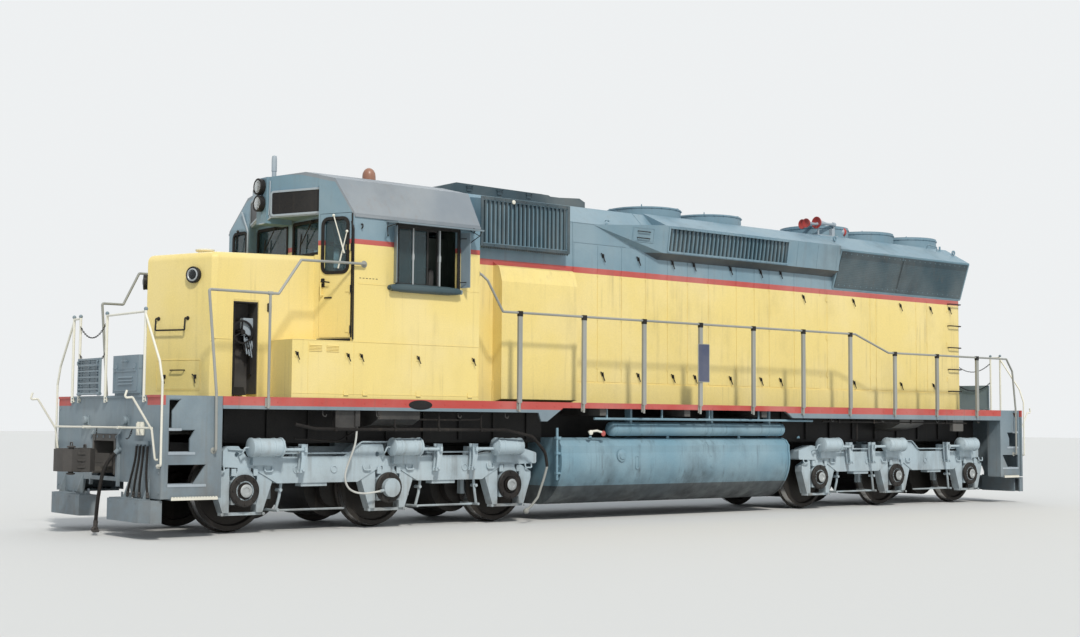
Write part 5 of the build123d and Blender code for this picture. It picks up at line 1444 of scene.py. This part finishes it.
def wheel_treads():
    """The bright bands that the rails have polished on the treads, and the caps of the axles."""
    for number, x in enumerate(WHEELSETS, 1):
        mesh = bmesh.new()
        for side in (-1, 1):
            turned(mesh, (x, 0, AXLE_Z), (0, side, 0), [(0.5114, 0.712), (0.51, 0.73), (0.5055, 0.79),
                    (0.5041, 0.8085), (0.502, 0.8085), (0.5075, 0.73), (0.509, 0.712), (0.5114, 0.712)], 72)
        piece(f"wheel_treads_{number}", mesh, tread_steel, 0, body=f"wheelset_{number}")
        mesh = bmesh.new()
        for side in (-1, 1):
            turned(mesh, (x, 0, AXLE_Z), (0, side, 0), [(0.08, 1.2205), (0.08, 1.229), (0.073, 1.233),
                    (0.044, 1.233), (0.036, 1.2225), (0.0, 1.2225)], 28)
            for across, rise in circle(3, 0.058, 0.4):
                bolt(mesh, (x + across, side * 1.232, AXLE_Z + rise), (0, side, 0), 0.009, 0.008)
        piece(f"axle_caps_{number}", mesh, sash_metal, 0, body=f"wheelset_{number}")


wheel_treads()


# Ends, drawn outwards along X at the rear and turned round for the front

END_PLATE = 8.6


def end_piece(name, mesh, hand, slot, finish, bevel=0.002, body="carbody"):
    if hand == "front":
        bmesh.ops.transform(mesh, matrix=Matrix.Rotation(pi, 4, "Z"), verts=mesh.verts[:])
    piece(f"{name}_{hand}", mesh, finish, bevel, body)


WELL_INNER = {"front": 7.81, "rear": 7.96}
TREADS = (0.613, 0.99, 1.27)


def chain(mesh, start, end, sag, count):
    """Adds a chain of oval links that hangs between two places, each link turned against the next."""
    start, end = Vector(start), Vector(end)
    line = [start.lerp(end, n / count) - Vector((0, 0, sag * 4 * (n / count) * (1 - n / count)))
            for n in range(count + 1)]
    for n, (a, b) in enumerate(zip(line, line[1:])):
        ahead = (b - a)
        reach = ahead.length * 0.66
        ahead.normalize()
        side = ahead.orthogonal().normalized()
        if n % 2:
            side = ahead.cross(side)
        middle = (a + b) / 2
        width = reach * 0.42
        loop = [middle + ahead * reach * cos(t) + side * width * sin(t)
                for t in (2 * pi * k / 10 for k in range(11))]
        tube(mesh, loop, reach * 0.17, 5, 0)


def step_edges(hand):
    """White serrated edges on the lowest treads and pale pierced edges on those above."""
    inner = WELL_INNER[hand]
    mesh = bmesh.new()
    block(mesh, (inner + 0.06, 8.47), (1.545, 1.552), (0.432, 0.464))
    count = 16
    step = (8.47 - inner - 0.06) / count
    for n in range(count):
        x = inner + 0.06 + step * (n + 0.5)
        block(mesh, (x - step * 0.28, x + step * 0.28), (1.53, 1.552), (0.462, 0.474))
    both_sides(mesh)
    end_piece("step_white_edges", mesh, hand, "rail_white", white_paint, 0.001)
    mesh = bmesh.new()
    for z, low in zip(TREADS, (8.01, 8.16, 8.34)):
        block(mesh, (low, 8.505), (1.508, 1.516), (z - 0.026, z + 0.004))
        for n in range(14):
            x = low + 0.02 + (8.48 - low) * n / 13.5
            block(mesh, about(x, 0.008), (1.25, 1.512), (z, z + 0.006))
        for y in (1.255, 1.34, 1.425, 1.5):
            block(mesh, (inner + 0.03, 8.55), about(y, 0.004), (z, z + 0.008))
    for n in range(9):
        x = inner + 0.1 + (8.44 - inner - 0.1) * n / 8
        block(mesh, about(x, 0.007), (1.25, 1.535), (0.46, 0.467))
    both_sides(mesh)
    end_piece("step_gratings", mesh, hand, "truck_silver", pale_trim, 0)


def end_fittings(hand):
    """The striker, brackets and bolts of the end plate, hose plugs, chains and the locker's trim."""
    mesh = bmesh.new()
    for y in (-0.4, 0.4):
        prism(mesh, [(END_PLATE, 0.56), (8.64, 0.56), (8.64, 1.18), (END_PLATE, 1.24)], "Y", y - 0.016,
                y + 0.016)
    ring_on(mesh, face_at((8.602, 0, 0.905), RIGHT), 0.8, 0.56, 0.04, 0.05, -0.004, 0.034)
    for y in (-0.37, -0.19, 0.0, 0.19, 0.37):
        bolt(mesh, (8.636, y, 1.16), AFT, 0.018, 0.012)
    for side in (-1, 1):
        for z in (0.52, 0.75, 1.0, 1.25, 1.5):
            bolt(mesh, (END_PLATE, side * 1.49, z), AFT, 0.014, 0.01)
        for y in (0.5, 0.74, 0.98, 1.22):
            bolt(mesh, (8.742, side * y, 0.4), AFT, 0.013, 0.022)
            block(mesh, (END_PLATE, 8.606), about(side * y, 0.03), (0.43, 0.5))
        prism(mesh, [(END_PLATE, 0.44), (8.745, 0.44), (8.745, 0.428), (END_PLATE, 0.428)], "Y", side * 0.44,
                side * 1.27)
        for y in (side * 0.7, side * 1.25):
            prism(mesh, [(END_PLATE, 0.43), (8.69, 0.43), (END_PLATE, 0.69)], "Y", y - 0.006, y + 0.006)
        block(mesh, (END_PLATE, 8.616), about(side * 0.6, 0.05), (1.3, 1.42))
        turned(mesh, (8.612, side * 0.6, 1.36), AFT, [(0.05, 0), (0.054, 0.03), (0.044, 0.05), (0.0, 0.052)],
                20)
    block(mesh, (8.596, 8.612), (-1.535, 1.535), (1.636, 1.664))
    end_piece("end_plate_fittings", mesh, hand, "frame_grey", pilot_paint)
    mesh = bmesh.new()
    for y in (0.96, 1.055):
        for low, high, radius in ((1.185, 1.33, 0.03), (1.33, 1.345, 0.022)):
            rod(mesh, (8.625, y, low), (8.625, y, high), radius, 14)
    end_piece("hose_plugs", mesh, hand, "rail_white", white_paint, 0.003)
    mesh = bmesh.new()
    chain(mesh, (8.68, 0.905, 1.262), (8.668, 0.7, 1.15), 0.05, 9)
    chain(mesh, (8.68, -0.12, 1.262), (8.7, -0.11, 1.12), 0.0, 5)
    for z in (2.56, 2.2):
        chain(mesh, (8.622, -0.86, z), (8.622, -0.06, z), 0.16, 27)
    end_piece("end_chains", mesh, hand, "black_steel", black_paint_and_shade, 0)
    mesh = bmesh.new()
    block(mesh, (8.5395, 8.631), (0.194, 0.936), (1.985, 2.0))
    ring_on(mesh, face_at((8.63, 0.565, 1.84), RIGHT), 0.65, 0.25, 0.02, 0.016, -0.002, 0.006)
    for y in (0.3, 0.83):
        block(mesh, (8.626, 8.642), about(y, 0.03), (1.955, 2.045))
        pin(mesh, (8.642, y, 1.992), (0, 0.03, 0), 0.009, 8)
    for z in (1.8, 1.84, 1.88):
        prism(mesh, [(8.63, z), (8.642, z - 0.006), (8.63, z + 0.016)], "Y", 0.36, 0.77)
    staple(mesh, (8.632, 0.5, 2.075), (8.632, 0.63, 2.075), (0.036, 0, 0), 0.008, 8, 0.012)
    for y in (-1.07, -0.86, -0.04, 1.07):
        for z in (1.602, 1.638):
            for dy in (-0.022, 0.022):
                bolt(mesh, (8.622, y + dy, z), AFT, 0.009, 0.01)
        ball(mesh, (8.62, y, 2.69), 0.026, 10)
    end_piece("end_locker_fittings", mesh, hand, "frame_grey", trim_paint, 0.0015)


def coupler_details(hand):
    """Ribs, pin and eyes of the coupler's head, and the treads and hinges of the drop step."""
    mesh = bmesh.new()
    for z in (0.795, 0.876, 0.957):
        block(mesh, (8.96, 9.062), (0.15, 0.222), about(z, 0.014))
        prism(mesh, [(8.8, -0.12), (8.86, -0.196), (8.955, -0.222), (8.96, -0.205), (8.87, -0.18),
                (8.815, -0.11)], "Z", z - 0.01, z + 0.01)
    for z in (0.734, 1.018):
        way = 1 if z > 0.9 else -1
        prism(mesh, [(8.83, -0.15), (9.02, -0.19), (9.02, 0.17), (8.84, 0.13)], "Z", z - 0.004, z + 0.004)
        turned(mesh, (9.11, 0.14, z + way * 0.012), (0, 0, way), [(0.052, 0), (0.052, 0.014), (0.03, 0.022),
                (0.0, 0.024)], 18)
    tube(mesh, [(9.11, 0.11, 1.055), (9.11, 0.105, 1.09), (9.11, 0.175, 1.09), (9.11, 0.17, 1.055)], 0.008, 6,
            0.015)
    staple(mesh, (8.9, 0.02, 1.018), (8.9, 0.075, 1.018), (0, 0, 0.042), 0.011, 8, 0.02)
    block(mesh, (9.12, 9.205), (-0.005, 0.1), (0.86, 0.892))
    for y in (-0.079, 0.075):
        block(mesh, (8.68, 8.78), (y, y + 0.004), (0.84, 0.912))
    end_piece("coupler_castings", mesh, hand, "rust", rust_iron_and_shade, 0.003, body=f"coupler_{hand}")
    mesh = bmesh.new()
    for z in range(12):
        block(mesh, (8.652, 8.67), (-0.77, -0.14), (1.752 + z * 0.031, 1.756 + z * 0.031))
    for y in (-0.69, -0.455, -0.22):
        block(mesh, (8.6515, 8.662), about(y, 0.006), (1.705, 2.13))
    for y in (-0.76, -0.15):
        turned(mesh, (8.656, y, 1.69), RIGHT, [(0.024, -0.03), (0.024, 0.03)], 14)
        tube(mesh, [(8.66, y, 2.1), (8.69, y, 2.105), (8.69, y, 2.06), (8.662, y, 2.055)], 0.007, 6, 0.01)
    end_piece("drop_step_treads", mesh, hand, "frame_grey", trim_paint, 0.001, body=f"step_{hand}")


for hand in ("front", "rear"):
    step_edges(hand)
    end_fittings(hand)
    coupler_details(hand)


# Handrails

POSTS, HIGH_POSTS = 10, 7
FIRST_POST, POST_STEP = -3.31, 1.169
HIGH_RAIL, LOW_RAIL = 2.885, 2.603


def handrail_fittings():
    """Flat stanchions over the posts, their clamps and bolts, the flanges, and the blank board."""
    mesh = bmesh.new()
    clamps = bmesh.new()
    for n in range(POSTS):
        x = FIRST_POST + POST_STEP * n
        top = HIGH_RAIL if n < HIGH_POSTS else LOW_RAIL
        block(mesh, about(x, 0.034), (1.529, 1.567), (1.64, top - 0.03))
        block(clamps, about(x, 0.037), (1.526, 1.571), (top - 0.05, top + 0.024))
        for dx, z in ((-0.024, 1.56), (0.024, 1.56), (-0.024, 1.62), (0.024, 1.62)):
            bolt(mesh, (x + dx, 1.536, z), RIGHT, 0.009, 0.009)
    rod(mesh, (-7.249, RAIL_LINE, 2.93), (-7.181, RAIL_LINE, 2.93), 0.0235, 10)
    for centre, out in (((-5.84, 1.498, 3.385), RIGHT), ((-3.982, 1.47, 3.385), AFT)):
        flange(mesh, centre, out, 0.046, 0.024)
    for x, z in ((8.36, 0.86), (-7.92, 1.01)):
        flange(mesh, (x, 1.508, z), RIGHT, 0.04, 0.022)
    both_sides(mesh)
    piece("handrail_fittings", mesh, rail_paint, 0.003)
    both_sides(clamps)
    piece("handrail_clamps", clamps, black_paint_and_shade, 0.003)
    mesh = bmesh.new()
    face = face_at((0.24, -1.568, 2.295), AFT)
    leaf_on(mesh, face, 0.236, 0.58, 0.014, 0, 0.01)
    piece("blank_board", mesh, board_blue, 0.0015)
    mesh = bmesh.new()
    ring_on(mesh, face, 0.24, 0.584, 0.016, 0.01, -0.001, 0.012)
    for z in (2.06, 2.53):
        tube(mesh, [(0.16, -1.567, z), (0.16, -1.53, z), (0.234, -1.528, z), (0.234, -1.567, z)], 0.006, 6,
                0.012)
    piece("blank_board_rim", mesh, rail_paint, 0)


handrail_fittings()


# Roof

FANS = ((0.45, 4.64), (1.85, 4.64), (4.6, 4.668), (5.87, 4.668), (7.14, 4.668))


def roof_fittings():
    """Weld lines across the roof, rings and handles of the fans, rails, posts and the exhaust hatch."""
    mesh = bmesh.new()
    for x in (-0.399, 1.15, 2.56, 3.5):
        for side in (-1, 1):
            tube(mesh, [(x, side * 0.951, 4.2), (x, side * 0.951, 4.342), (x, side * 0.65, 4.621),
                    (x, 0, 4.661)], 0.006, 6, 0)
    for x, z in FANS:
        turned(mesh, (x, 0, z + 0.13), UP, [(0.602, 0), (0.612, 0.004), (0.612, 0.02), (0.602, 0.024)], 64)
        for u, w in circle(24):
            bolt(mesh, (x + 0.61 * u, 0.61 * w, z + 0.142), (u, w, 0), 0.01, 0.008)
        for a in (0.8, 2.4, 3.9, 5.5):
            outer, inner = (Vector((x + r * cos(a), r * sin(a), z + 0.15)) for r in (0.56, 0.48))
            staple(mesh, outer, inner, (0, 0, 0.045), 0.008, 6, 0.012)
    for side in (-1, 1):
        tube(mesh, [(6.772, side * 0.8, 4.61), (6.772, side * 0.84, 4.68), (6.949, side * 0.9, 4.64),
                (6.949, side * 0.9, 4.56)], 0.011, 8, 0.02)
        rod(mesh, (7.281, side * 0.72, 4.6), (7.281, side * 0.72, 4.69), 0.018, 10)
    piece("roof_fittings", mesh, roof_paint, 0)
    mesh = bmesh.new()
    prism(mesh, [(-3.96, 4.6), (-3.96, 4.705), (-3.624, 4.801), (-1.916, 4.782), (-1.86, 4.755),
            (-1.303, 4.79), (-1.192, 4.74), (-1.192, 4.6)], "Y", -0.45, 0.45)
    for x in (-3.4, -2.85, -2.3):
        for side in (-1, 1):
            block(mesh, about(x, 0.04), (side * 0.446, side * 0.462), (4.69, 4.745))
            staple(mesh, (x - 0.05, side * 0.452, 4.76), (x + 0.05, side * 0.452, 4.76),
                    (0, side * 0.038, 0.005), 0.007, 6, 0.01)
    ring_on(mesh, face_at((-2.7, 0, 4.79), AFT, RIGHT), 1.5, 0.76, 0.04, 0.03, -0.02, 0.01)
    ring_on(mesh, face_at((-1.56, 0, 4.775), AFT, RIGHT), 0.42, 0.56, 0.04, 0.05, -0.03, 0.022)
    hump = piece("exhaust_hatch", mesh, hatch_paint_and_shade, 0.008)
    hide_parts("exhaust_hump")


def radiator_face(side, x, z):
    """A face on the leaning wall of the radiator housing."""
    lean = 0.326
    up = Vector((0, side * lean, 1)).normalized()
    return face_at((x, side * (0.95 + lean * (z - 3.685)), z), (-side, 0, 0), up)


def radiator_trim():
    """Bolted frames and straps around the grilles, the sheets and wires that make their mesh, and a darker
    strip along the top of the mesh that is painted shade.
    """
    mesh = bmesh.new()
    for side in (-1, 1):
        for low, high in ((4.08, 5.69), (5.81, 7.42)):
            face = radiator_face(side, (low + high) / 2, 4.03)
            width, height = high - low, 0.526
            ring_on(mesh, face, width + 0.06, height + 0.06, 0.015, 0.036, -0.004, 0.012)
            for n in range(12):
                a = -width / 2 + width * n / 11
                for b in (-height / 2 - 0.014, height / 2 + 0.014):
                    bolt(mesh, face(a, b, 0.012), out_of(face), 0.009, 0.006)
            for b in (-0.13, 0.13):
                leaf_on(mesh, radiator_face(side, (low + high) / 2, 4.03 + b * 0.95), width, 0.016, 0.003,
                        -0.012, -0.001)
        for x in (3.96, 7.545):
            face = radiator_face(side, x, 4.02)
            leaf_on(mesh, face, 0.03, 0.68, 0.004, -0.004, 0.008)
        foot = radiator_face(side, 5.755, 3.702)
        leaf_on(mesh, foot, 3.59, 0.034, 0.004, -0.006, 0.007)
        head = radiator_face(side, 5.755, 4.345)
        leaf_on(mesh, head, 3.59, 0.03, 0.004, -0.006, 0.009)
    piece("radiator_frames", mesh, radiator_paint, 0.0015)
    sheet = bmesh.new()
    mesh = bmesh.new()
    for side in (-1, 1):
        face = radiator_face(side, 5.755, 4.02)
        for low, high in ((-1.765, -0.135), (-0.095, 1.765)):
            width = sorted((low * -side, high * -side))
            panel_on(sheet, face, corners_of(width, (-0.315, 0.2)), 0.004, 0.0135)
            # The darker upper strip of each mesh: painted shade.
            panel_on(mesh, face, corners_of(width, (0.2, 0.318)), 0.004, 0.0135)
        for n in range(118):
            panel_on(mesh, face, corners_of(about(-1.765 + n * 0.03, 0.0035), (-0.315, 0.318)), 0.013, 0.0165)
        for n in range(21):
            panel_on(mesh, face, corners_of((-1.765, 1.765), about(-0.3 + n * 0.03, 0.0035)), 0.0135, 0.017)
    piece("radiator_sheets", sheet, mesh_paint, 0)
    piece("radiator_wires_and_shade_strip", mesh, hatch_paint_and_shade, 0)


def blister_trim():
    """The frame of the blister's grille, the hatch on its slanted point with two handles, and its seams."""
    mesh = bmesh.new()
    black = bmesh.new()
    for side in (-1, 1):
        low, high = Vector((-0.16, side * 1.1, 3.985)), Vector((-0.16, side * 1.165, 4.41))
        lean = 0.153
        up = Vector((0, side * lean, 1)).normalized()
        face = face_at((1.29, side * 1.132, 4.1975), (-side, 0, 0), up)
        ring_on(mesh, face, 2.75, 0.405, 0.012, 0.03, -0.004, 0.012)
        for n in range(18):
            for b in (-0.188, 0.188):
                bolt(mesh, face(-1.34 + 2.68 * n / 17, b, 0.012), out_of(face), 0.009, 0.006)
        rear = face_at((3.33, side * 1.132, 4.1975), (-side, 0, 0), up)
        for a in (-0.45, 0.05, 0.55):
            leaf_on(mesh, face_at(rear(a * -side, 0, 0), (-side, 0, 0), up), 0.012, 0.4, 0.003, -0.002, 0.005)
        tip = Vector((-1.47, side * 0.95, 4.33))
        middle = (low + high) / 2
        rise = (high - low).normalized()
        along = (middle - tip)
        along = (along - rise * along.dot(rise)).normalized()
        hatch = face_at(tip.lerp(middle, 0.7), along * -side if side == 1 else along, rise)
        ring_on(mesh, hatch, 0.4, 0.225, 0.02, 0.014, -0.003, 0.007)
        leaf_on(mesh, hatch, 0.365, 0.19, 0.015, -0.003, 0.004)
        for b in (-0.05, 0.05):
            staple(black, hatch(-0.11, b), hatch(0.11, b), out_of(hatch) * 0.03, 0.008, 6, 0.012)
    piece("blister_trim", mesh, blister_paint, 0.0015)
    piece("blister_handles", black, black_paint_and_shade, 0)


HORNS = ((3.7, -0.6, 4.835, 0.08, 0.34, -1), (3.97, -0.6, 4.866, 0.104, 0.48, -1),
        (3.85, -0.38, 4.85, 0.085, 0.4, -1), (4.72, -0.56, 4.76, 0.08, 0.32, 1),
        (4.72, -0.38, 4.76, 0.08, 0.32, 1))


def beacon_and_horns():
    """The horns, the beacon and the aerial; the cluster stands where the photo has it."""
    made = []
    made.append(turned_piece("beacon_dome", (-4.82, 0, 4.728), UP, [(0.092, 0.0), (0.095, 0.02),
            (0.094, 0.09), (0.088, 0.13), (0.07, 0.165), (0.044, 0.19), (0.02, 0.2), (0.0, 0.202)], 32,
            amber))
    mesh = bmesh.new()
    turned(mesh, (-4.82, 0, 4.64), UP, [(0.118, 0.0), (0.12, 0.05), (0.12, 0.076), (0.108, 0.09),
            (0.094, 0.092), (0.0, 0.092)], 32)
    turned(mesh, (-6.33, 0, 4.59), UP, [(0.072, 0), (0.07, 0.022), (0.032, 0.034), (0.03, 0.125),
            (0.036, 0.128), (0.036, 0.3), (0.03, 0.338), (0.0, 0.348)], 24)
    made.append(piece("beacon_base", mesh, pale_trim, 0.0015))
    mesh = bmesh.new()
    mouths = bmesh.new()
    for x, y, z, radius, length, way in HORNS:
        turned(mesh, (x + way * -length, y, z), (way, 0, 0), [(0.0, 0), (0.04, 0), (0.04, 0.05),
                (0.024, 0.055), (0.024, length * 0.45), (radius * 0.5, length * 0.8),
                (radius * 0.84, length - 0.034)], 28)
        rod(mesh, (x - way * (length - 0.02), y, 4.64), (x - way * (length - 0.02), y, z), 0.016, 10)
        turned(mouths, (x, y, z), (way, 0, 0), [(radius * 0.84, -0.036), (radius, -0.006), (radius, 0.002),
                (radius * 0.95, 0.002), (radius * 0.72, -0.008), (radius * 0.4, -0.018), (0.0, -0.02)], 28)
    block(mesh, (3.96, 4.5), (-0.64, -0.34), (4.62, 4.662))
    block(mesh, (4.36, 4.42), (-0.62, -0.36), (4.66, 4.79))
    made.append(piece("horn_bodies", mesh, pale_trim, 0.002))
    made.append(piece("horn_mouths", mouths, horn_red, 0))
    for one in made:
        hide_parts("horns_and_aerial")


def rear_end_fittings():
    """Doors, latches and grab irons on the rear wall of the hood, which the type has."""
    mesh = bmesh.new()
    for y in (-0.42, 0.42):
        face = face_at((HOOD_REAR, y, 2.83), RIGHT)
        leaf_on(mesh, face, 0.72, 1.5, 0.03, -0.002, 0.007)
        for z in (2.25, 2.83, 3.42):
            pin(mesh, (HOOD_REAR + 0.01, y * 1.86, z), (0, 0, 0.05), 0.01, 8)
    piece("rear_wall_doors", mesh, hood_paint, 0.0015)
    mesh = bmesh.new()
    for y in (-0.1, 0.1):
        latch_on(mesh, face_at((7.567, y, 2.8), RIGHT), 1.2)
    for n in range(6):
        z = 2.0 + n * 0.4
        if n > 4:
            staple(mesh, (7.555, -0.89, z), (7.555, -0.6, z), (0.065, 0, 0), 0.011)
        else:
            staple(mesh, (7.5, -0.945, z), (7.18, -0.945, z), (0, -0.065, 0), 0.011)
    piece("rear_wall_irons", mesh, black_paint_and_shade, 0)


roof_fittings()
radiator_trim()
blister_trim()
beacon_and_horns()
rear_end_fittings()


# Padded seats and arm rests

PAD_PRESSURE = 4


def pad_mesh(size, crown, cells):
    """A closed cushion: crowned above and below, its sides drawn in between the corners."""
    mesh = bmesh.new()
    length, width, height = size
    bmesh.ops.create_cube(mesh, size=2)
    bmesh.ops.subdivide_edges(mesh, edges=mesh.edges[:], cuts=cells, use_grid_fill=True)
    for vert in mesh.verts:
        a, b, c = vert.co
        swell = (1 - a ** 4) * (1 - b ** 4)
        pull = 1 - 0.035 * (1 - abs(b if abs(a) > abs(b) else a) ** 2)
        edge = (1 - 0.1 * abs(c) ** 4)
        vert.co = (a * length / 2 * pull * edge, b * width / 2 * pull * edge,
                c * (height / 2) * (1 + crown * swell) * (1 - 0.12 * (a ** 8 + b ** 8) / 2))
    data = bpy.data.meshes.new("pad")
    mesh.to_mesh(data)
    mesh.free()
    return data


def inflated(data, voxel, reach):
    """The cushion's mesh blown up as cloth, no point of it further than a reach from where it was."""
    work = bpy.data.objects.new("pad", data)
    bpy.context.scene.collection.objects.link(work)
    remesh = work.modifiers.new("even", "REMESH")
    remesh.mode, remesh.voxel_size = "VOXEL", voxel
    graph = bpy.context.evaluated_depsgraph_get()
    even = bpy.data.meshes.new_from_object(work.evaluated_get(graph))
    work.modifiers.remove(remesh)
    work.data = even
    before = [vert.co.copy() for vert in even.vertices]
    cloth = work.modifiers.new("cloth", "CLOTH")
    cloth.settings.use_pressure, cloth.settings.uniform_pressure_force = True, PAD_PRESSURE
    cloth.settings.effector_weights.gravity = 0
    cloth.point_cache.frame_start, cloth.point_cache.frame_end = 1, 20
    for frame_number in range(1, 21):
        bpy.context.scene.frame_set(frame_number)
    graph = bpy.context.evaluated_depsgraph_get()
    blown = bpy.data.meshes.new_from_object(work.evaluated_get(graph))
    work.modifiers.remove(cloth)
    bpy.context.scene.frame_set(1)
    for vert, old in zip(blown.vertices, before):
        move = vert.co - old
        if move.length > reach:
            vert.co = old + move.normalized() * reach
    work.data = blown
    smooth = work.modifiers.new("fine", "SUBSURF")
    smooth.levels = smooth.render_levels = 1
    graph = bpy.context.evaluated_depsgraph_get()
    done = bpy.data.meshes.new_from_object(work.evaluated_get(graph))
    bpy.data.objects.remove(work)
    return done


def welt(data, axis):
    """A sewn cord around the middle of a cushion, across its thickness axis, laid on its surface."""
    mesh = bmesh.new()
    mesh.from_mesh(data)
    tree = BVHTree.FromBMesh(mesh)
    mesh.free()
    one, two = {"X": (RIGHT, UP), "Z": (AFT, RIGHT), "Y": (AFT, UP)}[axis]
    line = []
    for n in range(97):
        a = 2 * pi * n / 96
        out = Vector(one) * cos(a) + Vector(two) * sin(a)
        hit = tree.ray_cast(out * 2, -out)[0]
        line.append(hit + out * 0.001)
    cord = bmesh.new()
    tube(cord, line, 0.0045, 6, 0)
    return cord


def pad(name, data, seam_axis, places, finish, stands_for=None):
    """Sets copies of one finished cushion at its places, each with its sewn cord."""
    for hand, place, turn in places:
        mesh = bmesh.new()
        mesh.from_mesh(data)
        bmesh.ops.transform(mesh, matrix=Matrix.Translation(place) @ turn, verts=mesh.verts[:])
        made = piece(f"{name}_{hand}", mesh, finish, 0, angle=80)
        if stands_for:
            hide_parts(stands_for)
        cord = welt(data, seam_axis)
        bmesh.ops.transform(cord, matrix=Matrix.Translation(place) @ turn, verts=cord.verts[:])
        piece(f"{name}_welt_{hand}", cord, finish, 0, angle=80)


def padding():
    still = Matrix.Identity(4)
    cushion = inflated(pad_mesh((0.44, 0.45, 0.094), 0.1, 7), 0.011, 0.009)
    back = inflated(pad_mesh((0.08, 0.41, 0.5), 0.06, 7), 0.011, 0.009)
    rest = inflated(pad_mesh((1.14, 0.098, 0.092), 0.02, 9), 0.009, 0.005)
    reclined = Matrix.Rotation(radians(4), 4, "Y")
    pad("seat_cushion", cushion, "Z", [(hand, (-4.825, side * 1.08, 2.87), still) for side, hand in SIDES],
            vinyl_black, stands_for="cab_seats")
    pad("seat_back", back, "X", [(hand, (-4.625, side * 1.08, 3.185), reclined) for side, hand in SIDES],
            vinyl_black, stands_for="cab_seats")
    pad("arm_rest", rest, "Y", [(hand, (-4.915, side * 1.5475, 3.11), still) for side, hand in SIDES],
            rest_vinyl)


padding()
